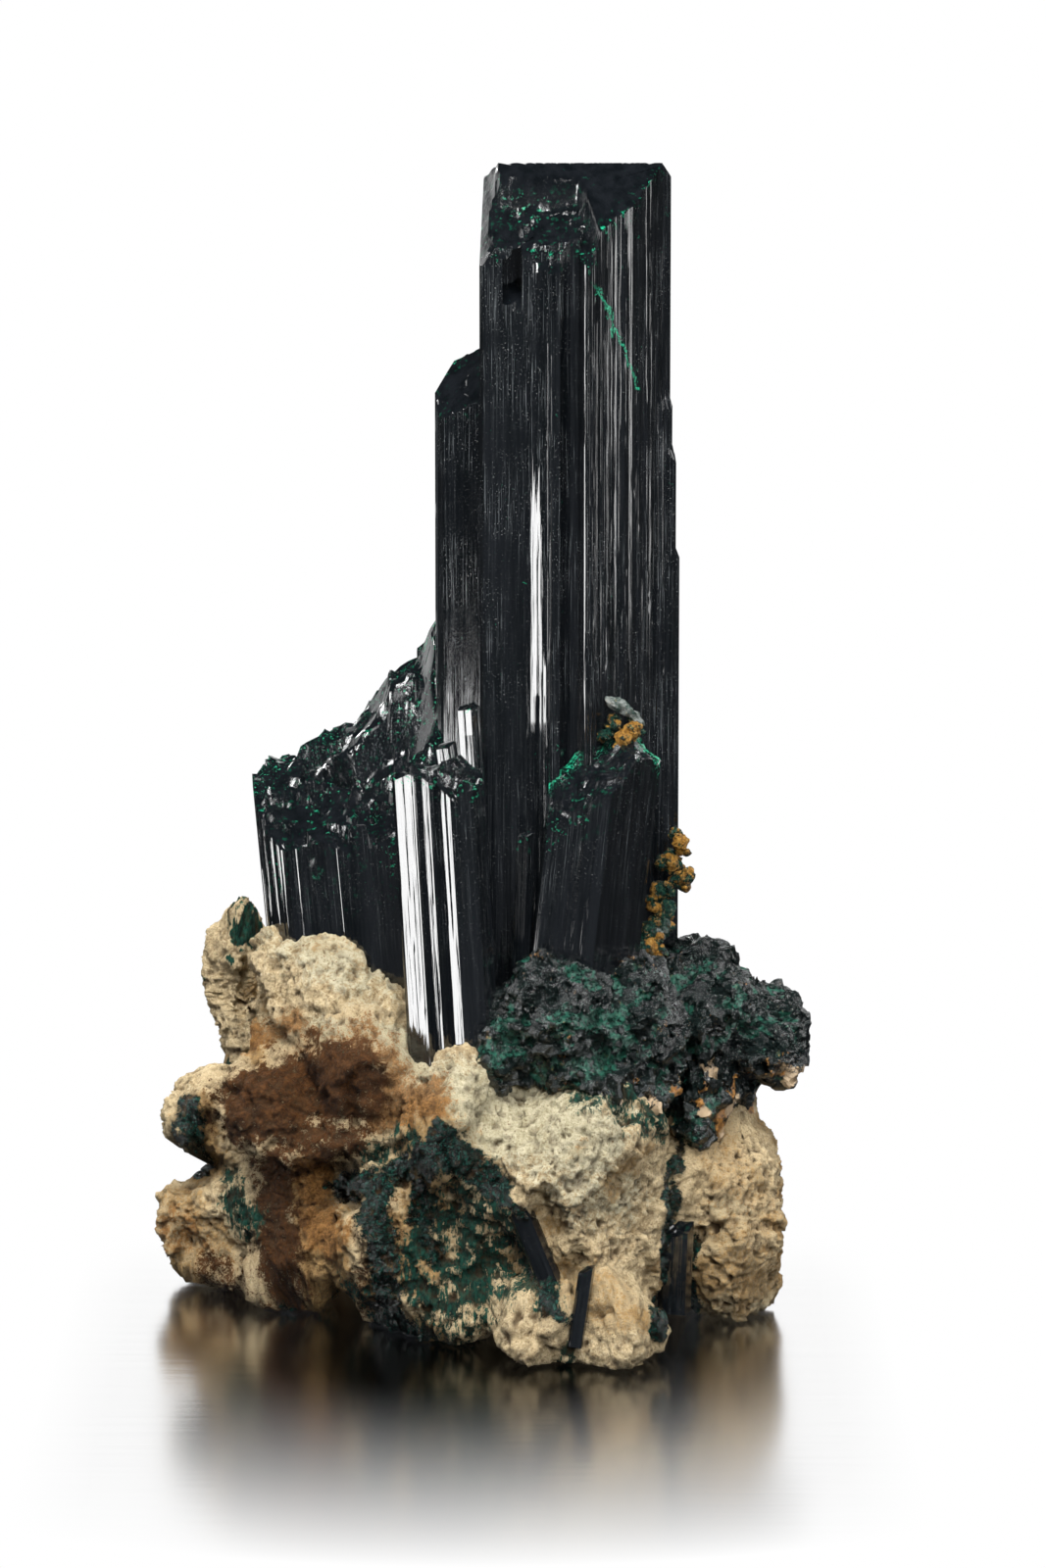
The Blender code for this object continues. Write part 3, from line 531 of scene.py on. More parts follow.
def crust_skin(name):
    """Lumps with folds, then flat little faces in two sizes, one to each crystal of the crust."""
    centre, columns, rows, lumps = CRUST_MASSES[name]
    spread = np.array((1.3, 1.2, 0.9))
    points = star_surface(np.array(centre), spread, lambda p: lump_field(p, lumps), columns, rows)
    push = 0.9 * creases(points / 3.0 + 40, 80) + 0.50 * creases(points / 1.5 + 40, 81)
    points = points + grid_normals(points) * push[..., None]
    fine = 0.26 * facets(points / 1.5, 82) + 0.20 * facets(points / 0.75, 83)
    away, number, _ = cells(points / 0.42, 84)
    fine += 0.10 * (number - 0.5) - 0.10 * away
    points = points + grid_normals(points) * fine[..., None]
    return points, np.clip(0.5 - 1.6 * (push * 0.5 + fine), 0, 1)


def crust_colours(points, deep):
    """Shares of green powder, rust and buff dust on the crust; powder gathers where it is deep."""
    green = smooth(-0.2, 0.45, clouds(points / 2.6, 4, 120) + 1.1 * (deep - 0.5))
    under = 1 - smooth(15.5, 18.5, points[..., 2] + 0.9 * clouds(points / 2.0, 2, 121))
    rust = smooth(0.35, 0.65, clouds(points / 2.2, 3, 122)) * (0.25 + 0.75 * under)
    buff = smooth(0.22, 0.5, clouds(points / 2.8, 3, 123)) * under
    return {"green": green, "rust": rust, "buff": buff}


def outline_at(corners, columns):
    """Points and outward normals at the given distances along a closed outline."""
    ring = np.array(corners)
    span = np.roll(ring, -1, axis=0) - ring
    length = np.linalg.norm(span, axis=1)
    starts = np.concatenate(((0,), np.cumsum(length)))
    edge = np.clip(np.searchsorted(starts, columns, side="right") - 1, 0, len(ring) - 1)
    share = (columns - starts[edge]) / length[edge]
    normals = np.stack((span[:, 1], -span[:, 0]), axis=1) / length[:, None]
    return ring[edge] + span[edge] * share[:, None], normals[edge], starts, normals


def grown_layers(corners, rules, tallest, seed):
    """Random growth layers: where each starts and stops round the prism, its ramps, height, reach.

    Each rule gives an edge's number, how many layers it carries and their greatest height.
    """
    rng = np.random.default_rng(seed)
    starts = outline_at(corners, np.zeros(1))[2]
    layers = []
    for edge, count, height in rules:
        room = starts[edge + 1] - starts[edge]
        for _ in range(count):
            width = min(rng.uniform(0.07, 0.60), room * 0.5)
            first = starts[edge] + rng.uniform(0.05, max(room - width - 0.05, 0.06))
            ramps = rng.uniform(0.03, min(0.16, width * 0.45), 2)
            foot = rng.uniform(-10, tallest * 0.7)
            top = foot + rng.uniform(tallest * 0.2, tallest * 1.1)
            melt = rng.choice((0.2, 0.2, 3.0))
            rise = height * rng.uniform(0.25, 1)
            layers.append((edge, first, first + width, *ramps, rise, foot, top, melt))
    return layers


def prism_skin(corners, foot, end, layers, rows, cap_rows, place, lean, calm=0.0):
    """A striated prism: outline(s) + sum of the layers' heights, drawn up from the foot to the end.

    A layer adds h * rise(s) * fall(s) * reach(z) along its edge's normal, or along its own
    direction where it has one. The end face goes on from the rim in shrinking copies of it, at
    the height that the end function gives there.
    """
    starts = outline_at(corners, np.zeros(1))[2]
    around = starts[-1]
    marks = [np.arange(0, around, 0.6), starts[:-1]]
    for _, first, last, rise, fall, *_ in layers:
        marks.append((first, first + rise, last - fall, last))
    columns = np.unique(np.round(np.concatenate(marks), 3))
    columns = columns[(columns >= 0) & (columns < around)]
    columns = columns[np.concatenate(((True,), np.diff(columns) > 0.012))]
    flat, _, _, normals = outline_at(corners, columns)
    turn = math.radians(lean)
    swing = np.array(((math.cos(turn), 0, math.sin(turn)), (0, 1, 0), (-math.sin(turn), 0, math.cos(turn))))

    def stood(points):
        return points @ swing.T + place

    def end_height(spot):
        height = np.full(spot.shape[:-1], 30.0)
        for _ in range(6):
            where = stood(np.concatenate((spot, height[..., None]), axis=-1))
            target, broken = end(where[..., 0], where[..., 1])
            height = height + (target - where[..., 2]) / math.cos(turn)
        return height, broken

    rim_height, _ = end_height(flat)
    step = np.linspace(0, 1, rows)[:, None]
    level = foot + (rim_height - foot) * step
    shift = np.zeros((rows, len(columns), 2))
    for edge, first, last, rise, fall, height, low, high, melt, *way in layers:
        bump = np.clip((columns - first) / rise, 0, 1) * np.clip((last - columns) / fall, 0, 1)
        reach = smooth(low - 0.6, low + 0.6, level) * (1 - smooth(high - melt, high, level))
        way = np.array(way[0]) if way else normals[edge]
        shift += (height * bump * reach)[..., None] * way
    spot = flat + shift
    grain = np.concatenate((spot, level[..., None]), axis=-1)
    wear = calm * hills(grain * (0.8, 0.8, 0.12), 5)
    spot = spot + wear[..., None] * outline_at(corners, columns)[1]
    rim_height, rim_broken = end_height(spot[-1])
    level[-1] = rim_height
    level[-2] = np.minimum(level[-2], rim_height - 0.05)
    inward = (np.arange(1, cap_rows) / cap_rows)[:, None, None]
    cap = spot[-1] + (spot[-1].mean(axis=0) - spot[-1]) * inward
    cap_height, broken = end_height(cap)
    local = np.concatenate(
        (
            np.concatenate((spot, level[..., None]), axis=-1),
            np.concatenate((cap, cap_height[..., None]), axis=-1),
        )
    )
    from_rim = np.concatenate((rim_height - level, np.linalg.norm(cap - spot[-1], axis=-1)))
    fracture = np.concatenate((np.zeros(level.shape), broken))
    fracture[rows - 1] = rim_broken
    return local, stood(local), from_rim, fracture


def crystal(name, corners, foot, end, layers, finish, rows=120, cap_rows=40, place=(0, 0, 0),
            lean=0.0, calm=0.0, wear=0.7, moss=0.0):
    """Writes one prism as a closed mesh with its own upright grain, its wear and its fractures.

    Moss is how much green powder clings to the rear part of the rim.
    """
    local, points, from_rim, fracture = prism_skin(
        corners, foot, end, layers, rows, cap_rows, np.array(place), lean, calm
    )
    flat = local.reshape(-1, 3)
    grain = np.concatenate((flat, flat[:1], flat[-1:]))
    near_top = np.exp(-from_rim / wear).ravel()
    values = {
        "grain": grain,
        "worn": np.concatenate((near_top, (0, 1))),
        "broken": np.concatenate((fracture.ravel(), (0, fracture[-1].mean()))),
        "mossy": moss * np.concatenate((near_top, (0, 1))) * smooth(0.2, 1.6, grain[:, 1]),
    }
    quads, triangles = tube_faces(*points.shape[:2])
    made = write_mesh(name, with_poles(points), quads, triangles, values, finish, sharp=16)
    return made


# The tall prism's outline, from its left front edge round to the right.
TALL_OUTLINE = (
    (-0.1, -3.1), (0.12, -3.57), (5.3, -3.57), (5.95, -3.0), (6.5, -3.0), (6.88, -4.90),
    (6.96, -4.95), (8.88, -2.63), (10.1, -1.78), (10.7, -0.6), (11.65, 0.9), (12.75, 2.2), (12.4, 3.2),
    (9.6, 7.0), (7.2, 8.4), (2.6, 7.6), (0.2, 3.8),
)  # fmt: skip
RIDGE_Y, RIDGE_TOP, DOME_FALL = 1.9, 77.95, 0.755


def tall_end(x, y):
    """Two end faces that fall from a ridge, a broken left corner, and cracked shards in front."""
    spot = np.stack((x, y, np.zeros_like(x)), axis=-1)
    dome = RIDGE_TOP - DOME_FALL * np.sqrt((y - RIDGE_Y) ** 2 + 0.02)
    shards = 0.55 * facets(spot / 2.8, 130) + 0.07 * facets(spot / 1.1, 131)
    chip = 76.7 + (0.80 * (x - 0.7) + 0.45 * (y - RIDGE_Y)) / 0.55 + shards * (0.3 + 0.7 * smooth(0.0, 1.6, x))
    nick = RIDGE_TOP - 1.6 * (x - 12.1) + 0.2 * shards
    cracked = smooth(0.6, -0.4, y + 0.25 * shards) * (1 - smooth(6.2, 7.0, x + 0.3 * y + 0.3 * shards))
    dome = dome - cracked * np.clip(1.5 + 1.4 * shards, 0.1, 3.2)
    height = np.minimum(np.minimum(dome, chip), nick)
    broken = np.maximum(smooth(0.15, -0.15, chip - dome), cracked)
    return height, broken


def sloping_end(point, normal, relief, seed, *more):
    """An end face on planes through points, the lowest of them, roughened by creases."""

    def end(x, y):
        spot = np.stack((x, y, np.zeros_like(x)), axis=-1)
        height = np.full_like(x, 999.0)
        for at, way in ((point, normal), *more):
            height = np.minimum(height, at[2] - (way[0] * (x - at[0]) + way[1] * (y - at[1])) / way[2])
        rough = clouds(spot / 2.4, 3, seed) + 1.2 * facets(spot / 1.3, seed + 9)
        return height + relief * rough, np.full_like(x, 1.0 if relief > 0.2 else 0.15)

    return end


def snapped_end(x, y):
    """A slope that climbs backwards and up to the rear right, hollowed and broken into faces."""
    steep = 0.38 + 0.45 * smooth(-11.0, -3.0, x)
    level = 32.6 + (y + 4.0) * steep + 3.0 * smooth(-4.4, -3.0, x) * smooth(3.0, 8.0, y)
    spot = np.stack((x, y, 0.35 * level), axis=-1)
    away = np.hypot((x + 6.8) / 3.4, (y - 3.8) / 2.7) + 0.12 * hills(spot / 1.6, 145)
    hollow = 1 - smooth(0.70, 1.05, away)
    rim = np.exp(-(((away - 1.15) / 0.18) ** 2))
    rough = 0.8 * hills(spot / 4.0, 140) + 0.80 * facets(spot / 3.0, 141)
    chipped = smooth(-0.3, 0.3, hills(spot / 2.6, 144)) * (1 - hollow)
    rough += chipped * (0.50 * facets(spot / 1.5, 142) + 0.08 * facets(spot / 0.8, 143))
    return level + (1 - 0.6 * hollow) * rough - 2.8 * hollow + 0.5 * rim, np.clip(0.9 * chipped, 0, 1)


class Nodes:
    """Adds shader nodes to a finish and wires them up."""

    def __init__(self, name):
        self.finish = bpy.data.materials.new(name)
        self.finish.use_nodes = True
        self.tree = self.finish.node_tree
        self.shader = self.tree.nodes["Principled BSDF"]

    def add(self, kind, inputs=None, **settings):
        node = self.tree.nodes.new(f"ShaderNode{kind}")
        for key, value in settings.items():
            setattr(node, key, value)
        for key, value in (inputs or {}).items():
            self.feed(node.inputs[key], value)
        return node

    def feed(self, socket, value):
        if isinstance(value, bpy.types.NodeSocket):
            self.tree.links.new(value, socket)
        else:
            socket.default_value = value

    def attribute(self, name, output="Fac"):
        return self.add("Attribute", attribute_name=name).outputs[output]

    def place_mm(self):
        """Object coordinates counted in millimetres."""
        place = self.add("TexCoord").outputs["Object"]
        return self.add("VectorMath", {0: place, "Scale": 1 / MM}, operation="SCALE").outputs[0]

    def stretched(self, place, scale):
        return self.add("Mapping", {"Vector": place, "Scale": scale}).outputs[0]

    def noise(self, place, scale, detail=4.0, roughness=0.55):
        inputs = {"Vector": place, "Scale": scale, "Detail": detail, "Roughness": roughness}
        return self.add("TexNoise", inputs).outputs["Fac"]

    def cells(self, place, scale, output="Distance", feature="F1"):
        return self.add("TexVoronoi", {"Vector": place, "Scale": scale}, feature=feature).outputs[output]

    def ramp(self, value, low, high, start=0.0, stop=1.0):
        inputs = {"Value": value, "From Min": low, "From Max": high, "To Min": start, "To Max": stop}
        return self.add("MapRange", inputs).outputs["Result"]

    def math(self, operation, a, b=0.0):
        return self.add("Math", {0: a, 1: b}, operation=operation).outputs[0]

    def spread(self, share, mottle, soft=0.08, swing=1.5):
        """Where a share and the swing of a noise round its middle come to more than one half."""
        swung = self.add("Math", {0: mottle, 1: swing, 2: -swing / 2}, operation="MULTIPLY_ADD").outputs[0]
        return self.ramp(self.math("ADD", share, swung), 0.5 - soft, 0.5 + soft)

    def blend(self, share, under, over):
        mix = self.add("Mix", data_type="RGBA")
        for key, value in ((0, share), (6, under), (7, over)):
            if isinstance(value, tuple):
                value = (*value, 1.0)
            self.feed(mix.inputs[key], value)
        return mix.outputs[2]

    def bump(self, height, distance_mm, strength=1.0, under=None):
        inputs = {"Height": height, "Distance": distance_mm * MM, "Strength": strength}
        if under is not None:
            inputs["Normal"] = under
        return self.add("Bump", inputs).outputs[0]

    def tilted(self, place, scale, amount):
        """The surface's normal, tipped a different way in each cell of a random pattern."""
        normal = self.add("NewGeometry").outputs["Normal"]
        way = self.cells(place, scale, "Color")
        way = self.add("VectorMath", {0: way, 1: (0.5, 0.5, 0.5)}, operation="SUBTRACT").outputs[0]
        way = self.add("VectorMath", {0: way, "Scale": amount}, operation="SCALE").outputs[0]
        both = self.add("VectorMath", {0: normal, 1: way}, operation="ADD").outputs[0]
        return self.add("VectorMath", {0: both}, operation="NORMALIZE").outputs[0]

    def done(self, **sockets):
        for key, value in sockets.items():
            socket = self.shader.inputs[key.replace("_", " ")]
            self.feed(socket, (*value, 1.0) if isinstance(value, tuple) else value)
        return self.finish


EMERALD = (0.004, 0.160, 0.078)
NEAR_BLACK = (0.0020, 0.0028, 0.0036)

# How the green fibres in the rock lean, in radians.
FIBRE_TURN = (0.0, 0.45, 0.0)

# The green vein in the tall prism lies on a plane: the way it faces, and how far out it is in mm.
VEIN_FACING = (0.917, 0.0, 0.399)
VEIN_AT = 35.0 + 0.917 * float(SLIDE[0])


def crystal_finish():
    """Near-black with a wet gloss, hair-fine striations, frosted scratches, dust and green chips."""
    n = Nodes("atacamite_crystal")
    grain = n.attribute("grain", "Vector")
    place = n.place_mm()
    worn, broken = n.attribute("worn"), n.attribute("broken")
    hair = n.noise(n.stretched(grain, (9.0, 9.0, 0.10)), 1.0, 3.0)
    thread = n.noise(n.stretched(grain, (24.0, 24.0, 0.3)), 1.0, 2.0)
    swell = n.noise(n.stretched(grain, (1.3, 1.3, 0.07)), 1.0, 3.0)
    grit = n.noise(grain, 6.0, 5.0, 0.7)
    fleck = n.noise(grain, 2.2, 5.0, 0.72)
    crowd = n.ramp(n.noise(grain, 0.30, 2.0), 0.50, 0.62)
    edge = n.math("MAXIMUM", worn, broken)
    chips = n.math("MULTIPLY", n.ramp(fleck, 0.585, 0.625), n.ramp(edge, 0.15, 0.7))
    chips = n.math("MULTIPLY", chips, n.ramp(crowd, 0.0, 1.0, 0.12, 1.0))
    stray = n.math("MULTIPLY", n.ramp(n.noise(grain, 1.5, 6.0, 0.8), 0.66, 0.69), crowd)
    vein_side = n.add("VectorMath", {0: place, 1: VEIN_FACING}, operation="DOT_PRODUCT").outputs["Value"]
    wander = n.ramp(n.noise(place, 0.8, 3.0), 0.3, 0.7, -0.35, 0.35)
    off_vein = n.math("ABSOLUTE", n.math("SUBTRACT", n.math("ADD", vein_side, wander), VEIN_AT))
    height = n.add("SeparateXYZ", {0: place}).outputs["Z"]
    reach = n.math("MULTIPLY", n.ramp(height, 61.5, 62.5), n.ramp(height, 70.5, 69.5))
    vein = n.math("MULTIPLY", n.math("MULTIPLY", n.ramp(off_vein, 0.16, 0.08), reach), n.ramp(grit, 0.46, 0.52))
    vein = n.math("MULTIPLY", vein, n.ramp(n.add("SeparateXYZ", {0: grain}).outputs["Y"], -0.9, -1.2))
    chips = n.math("MAXIMUM", n.math("MAXIMUM", chips, stray), vein)
    moss = n.math("MULTIPLY", n.attribute("mossy"), 0.52)
    chips = n.math("MAXIMUM", chips, n.spread(moss, grit, 0.10, 2.0))
    scratch = n.noise(n.stretched(grain, (9.0, 9.0, 0.18)), 1.0, 5.0, 0.75)
    upward = n.add("SeparateXYZ", {0: n.add("NewGeometry").outputs["Normal"]}).outputs["Z"]
    clean = n.ramp(upward, 0.15, 0.40, 1.0, 0.0)
    frost = n.math("MULTIPLY", n.ramp(scratch, 0.50, 0.66), n.ramp(thread, 0.45, 0.60))
    frost = n.math("MULTIPLY", frost, clean)
    patch = n.ramp(n.noise(grain, 0.22, 3.0), 0.42, 0.58, 0.22, 1.0)
    # Frost and dust thin out below 42 mm, so the prisms are darker towards their foot.
    patch = n.math("MULTIPLY", patch, n.ramp(height, 26.0, 42.0, 0.30, 1.0))
    frost = n.math("MULTIPLY", frost, patch)
    dust = n.math("MULTIPLY", n.ramp(n.noise(grain, 9.0, 3.0, 0.7), 0.64, 0.68), n.math("MULTIPLY", clean, patch))
    body = n.blend(n.ramp(swell, 0.35, 0.65), NEAR_BLACK, (0.0050, 0.0060, 0.0075))
    body = n.blend(n.math("MULTIPLY", frost, 0.55), body, (0.20, 0.22, 0.23))
    body = n.blend(n.math("MULTIPLY", dust, 0.60), body, (0.30, 0.31, 0.30))
    body = n.blend(chips, body, n.blend(n.ramp(grit, 0.4, 0.6), EMERALD, (0.008, 0.26, 0.14)))
    gloss = n.ramp(grit, 0.3, 0.75, 0.05, 0.11)
    gloss = n.math("ADD", gloss, n.math("MULTIPLY", n.math("MAXIMUM", frost, dust), 0.25))
    gloss = n.math("ADD", gloss, n.math("MULTIPLY", broken, 0.10))
    gloss = n.math("ADD", gloss, n.math("MULTIPLY", chips, 0.25))
    lines = n.math("ADD", n.math("MULTIPLY", hair, 0.6), n.math("MULTIPLY", thread, 0.4))
    normal = n.bump(lines, 0.012, 0.5)
    normal = n.bump(n.math("MULTIPLY", swell, clean), 0.10, 0.7, normal)
    hackly = n.math("MULTIPLY", n.noise(grain, 1.6, 3.0, 0.55), broken)
    normal = n.bump(hackly, 0.06, 0.6, normal)
    n.shader.inputs["IOR"].default_value = 1.86
    return n.done(Base_Color=body, Roughness=gloss, Normal=normal)


def crust_finish():
    """Glittering black grains with green powder between them, rusty and buff underneath."""
    n = Nodes("atacamite_crust")
    place = n.place_mm()
    green, rust, buff = (n.attribute(k) for k in ("green", "rust", "buff"))
    speck = n.noise(place, 2.6, 8.0, 0.80)
    grit = n.noise(place, 6.0, 5.0, 0.75)
    share = n.ramp(green, 0.0, 1.0, 0.0, 0.51)
    powder = n.spread(share, speck, 0.08, 2.0)
    body = n.blend(n.ramp(grit, 0.40, 0.62), (0.0018, 0.0028, 0.0030), (0.007, 0.012, 0.011))
    leaf = n.blend(n.ramp(grit, 0.38, 0.62), (0.003, 0.026, 0.018), (0.012, 0.100, 0.062))
    body = n.blend(powder, body, leaf)
    # Pale grey specks: dust, and also painted highlight standing in for the crust's small glints.
    body = n.blend(n.ramp(grit, 0.60, 0.66, 0.0, 0.35), body, (0.16, 0.20, 0.18))
    ore = n.blend(n.ramp(grit, 0.4, 0.6), (0.16, 0.060, 0.012), (0.42, 0.20, 0.04))
    body = n.blend(n.spread(n.math("MULTIPLY", rust, 0.8), speck, 0.06, 3.0), body, ore)
    body = n.blend(n.spread(buff, speck, 0.06, 3.0), body, (0.36, 0.26, 0.155))
    dull = n.math("MAXIMUM", powder, n.math("MAXIMUM", n.spread(rust, speck), n.spread(buff, speck)))
    gloss = n.ramp(dull, 0.0, 0.8, 0.12, 0.50)
    height = n.math("ADD", n.cells(place, 2.2), n.math("MULTIPLY", speck, 0.9))
    normal = n.bump(height, 0.10, 0.8, n.tilted(place, 1.3, 1.15))
    n.shader.inputs["IOR"].default_value = 1.86
    return n.done(Base_Color=body, Roughness=gloss, Normal=normal)


def rock_finish():
    """Chalky porous rock: buff with ochre and dark iron stain, green seams and black glitter."""
    n = Nodes("host_rock")
    place = n.place_mm()
    iron, rust, ochre, chalk, black, green = (n.attribute(k) for k in STAIN_KINDS)
    deep = n.attribute("deep")
    coarse = n.noise(place, 0.45, 6.0, 0.6)
    mottle = n.noise(place, 1.1, 9.0, 0.78)
    fine = n.noise(place, 2.4, 7.0, 0.75)
    grit = n.noise(place, 5.0, 5.0, 0.75)
    speck = n.math("MULTIPLY", n.math("ADD", mottle, grit), 0.5)
    tilted = n.add("Mapping", {"Vector": place, "Rotation": FIBRE_TURN, "Scale": (4.6, 4.6, 0.55)})
    fibre = n.noise(tilted.outputs[0], 1.0, 6.0, 0.75)
    body = n.blend(n.ramp(speck, 0.42, 0.60), (0.30, 0.210, 0.105), (0.78, 0.635, 0.390))
    body = n.blend(n.ramp(coarse, 0.35, 0.65, 0.0, 0.5), body, (0.58, 0.45, 0.260))
    # Pale grains where the grit noise is high, on the bump's raised spots: partly grain colour, partly painted
    # highlight.
    body = n.blend(n.ramp(grit, 0.56, 0.64, 0.0, 0.6), body, (0.74, 0.66, 0.48))
    pale = n.blend(n.ramp(speck, 0.42, 0.58), (0.36, 0.31, 0.185), (0.66, 0.60, 0.42))
    body = n.blend(n.spread(chalk, speck, 0.15, 4.5), body, pale)
    yellow = n.blend(n.ramp(grit, 0.40, 0.60), (0.17, 0.085, 0.022), (0.42, 0.255, 0.09))
    body = n.blend(n.math("MULTIPLY", n.spread(ochre, speck, 0.15, 4.5), 0.85), body, yellow)
    rusty = n.blend(n.ramp(grit, 0.40, 0.60), (0.11, 0.044, 0.010), (0.34, 0.165, 0.050))
    body = n.blend(n.math("MULTIPLY", n.spread(rust, speck, 0.12, 4.5), 0.9), body, rusty)
    dark = n.blend(n.ramp(speck, 0.42, 0.58), (0.012, 0.005, 0.002), (0.105, 0.043, 0.013))
    body = n.blend(n.spread(iron, speck, 0.12, 4.5), body, dark)
    seam = n.math("MULTIPLY", green, n.ramp(deep, 0.15, 0.50, 0.70, 1.30))
    weave = n.math("ADD", n.math("MULTIPLY", fibre, 0.75), n.math("MULTIPLY", grit, 0.25))
    seam = n.spread(seam, weave, 0.10, 3.6)
    moss = n.blend(n.ramp(fibre, 0.42, 0.64), (0.002, 0.008, 0.007), (0.013, 0.085, 0.056))
    body = n.blend(seam, body, moss)
    coal = n.blend(n.ramp(grit, 0.50, 0.60), (0.0015, 0.0020, 0.0022), (0.008, 0.046, 0.033))
    cover = n.spread(black, speck, 0.08, 3.0)
    body = n.blend(cover, body, coal)
    # Painted shade: dark brown where the fine relief lies deep, for the shadow in pits and hollows.
    body = n.blend(n.ramp(deep, 0.45, 0.95, 0.0, 0.85), body, (0.060, 0.034, 0.016))
    # Painted shade: dark brown specks where the grit noise is low, in the small dents of the bump.
    body = n.blend(n.ramp(grit, 0.42, 0.34, 0.0, 0.7), body, (0.085, 0.050, 0.026))
    gloss = n.ramp(cover, 0.3, 0.8, 0.95, 0.16)
    rough = n.math("ADD", n.math("MULTIPLY", fine, 0.5), n.math("MULTIPLY", grit, 0.5))
    glitter = n.tilted(place, 1.9, n.math("MULTIPLY", cover, 1.0))
    rough = n.math("MULTIPLY", rough, n.ramp(cover, 0.0, 1.0, 1.0, 0.30))
    normal = n.bump(rough, 0.60, 1.0, glitter)
    n.shader.inputs["IOR"].default_value = 1.5
    return n.done(Base_Color=body, Roughness=gloss, Normal=normal)


def stain_finish():
    """Grains caked in orange and yellow iron, with pale plates and dark green cubes among them; on the plates the
    pale grey is also painted sheen.
    """
    n = Nodes("iron_stain")
    place = n.place_mm()
    patchy = n.noise(place, 1.6, 6.0, 0.75)
    fine = n.noise(place, 4.0, 6.0, 0.8)
    tint = n.attribute("tint")
    caked = n.ramp(n.math("ADD", patchy, n.ramp(tint, 0.0, 1.0, 0.10, -0.16)), 0.49, 0.53)
    ore = n.blend(n.ramp(fine, 0.42, 0.60), (0.16, 0.070, 0.012), (0.50, 0.26, 0.045))
    stone = n.blend(n.ramp(fine, 0.45, 0.55), (0.004, 0.012, 0.010), (0.012, 0.060, 0.042))
    # Pale grey for pale grains and plates; on the plates it is also a painted sheen, in place of what a glossy
    # crystal face would mirror.
    pale_and_sheen = n.blend(n.ramp(patchy, 0.42, 0.58), (0.03, 0.06, 0.05), (0.30, 0.32, 0.30))
    stone = n.blend(n.ramp(tint, 0.86, 0.88), stone, pale_and_sheen)
    body = n.blend(caked, stone, ore)
    body = n.blend(n.ramp(fine, 0.60, 0.66, 0.0, 0.8), body, (0.55, 0.42, 0.20))
    body = n.blend(n.ramp(fine, 0.42, 0.36, 0.0, 0.8), body, (0.05, 0.026, 0.010))
    gloss = n.ramp(caked, 0.0, 1.0, 0.15, 0.55)
    return n.done(Base_Color=body, Roughness=gloss, Normal=n.bump(fine, 0.35, 1.0))


GLOBE = ((0, 1), (0, 180))


def cluster(grains, count, seed):
    """Small blocky grains strewn round each centre, each turned its own way about the view's axis.

    A grain is its centre, half-sizes, seed of the flat faces, tint and turn in radians.
    """
    rng = np.random.default_rng(seed)
    made = []
    for centre, size, tints in grains:
        for _ in range(count):
            way = rng.normal(size=3)
            way /= np.linalg.norm(way)
            half = rng.uniform(0.30, 0.95, 3) * size * rng.choice((0.6, 1.0))
            spot = np.array(centre) + way * size * rng.uniform(0.1, 0.75)
            turn = rng.uniform(-1.5, 1.5)
            made.append((spot, half, int(rng.integers(1000)), rng.uniform(*tints), turn))
    return made


def grains_mesh(name, grains, finish):
    """Blocky grains, each a ball cut by random planes: the lumps' formula on a coarse globe."""
    columns, rows = 20, 12
    points, quads, triangles, tints = [], [], [], []
    for number, (*lump, tint, turn) in enumerate(grains):
        skin = star_surface(
            lump[0], lump[1], lambda p, lump=lump: lump_field(p, (lump,)), columns, rows, GLOBE, 0
        )
        rough = 0.12 * facets(skin / 0.5, 160) + 0.07 * hills(skin / 0.3, 161)
        skin = skin + grid_normals(skin) * rough[..., None]
        c, s = math.cos(turn), math.sin(turn)
        skin = (skin - lump[0]) @ np.array(((c, 0, s), (0, 1, 0), (-s, 0, c))) + lump[0]
        sides, ends = tube_faces(rows, columns)
        base = number * (rows * columns + 2)
        points.append(with_poles(skin))
        quads.append(sides + base)
        triangles.append(ends + base)
        tints.append(np.full(rows * columns + 2, tint))
    values = {"tint": np.concatenate(tints)}
    return write_mesh(
        name, np.concatenate(points), np.concatenate(quads), np.concatenate(triangles), values, finish, 20
    )


def put(piece, slot, *nodes):
    """Fixes a piece to the specimen, in place of the solids it stands for."""
    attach(piece, "root")
    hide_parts(*nodes)


def build_rock():
    finish = rock_finish()
    for name, (_, columns, rows, _) in ROCK_MASSES.items():
        points, deep = rock_skin(name)
        whole = with_poles(points)
        values = rock_colours(whole)
        values["deep"] = np.concatenate((deep.ravel(), (0, 0)))
        quads, triangles = tube_faces(rows, columns)
        put(write_mesh(name, whole, quads, triangles, values, finish), "host_rock", "matrix")


def build_crust():
    finish = crust_finish()
    for name, (_, columns, rows, _) in CRUST_MASSES.items():
        points, deep = crust_skin(name)
        whole = with_poles(points)
        deep = np.concatenate((deep.ravel(), (0.5, 0.5)))
        quads, triangles = tube_faces(rows, columns)
        piece = write_mesh(name, whole, quads, triangles, crust_colours(whole, deep), finish, 28)
        put(piece, "atacamite_crust", "crust")


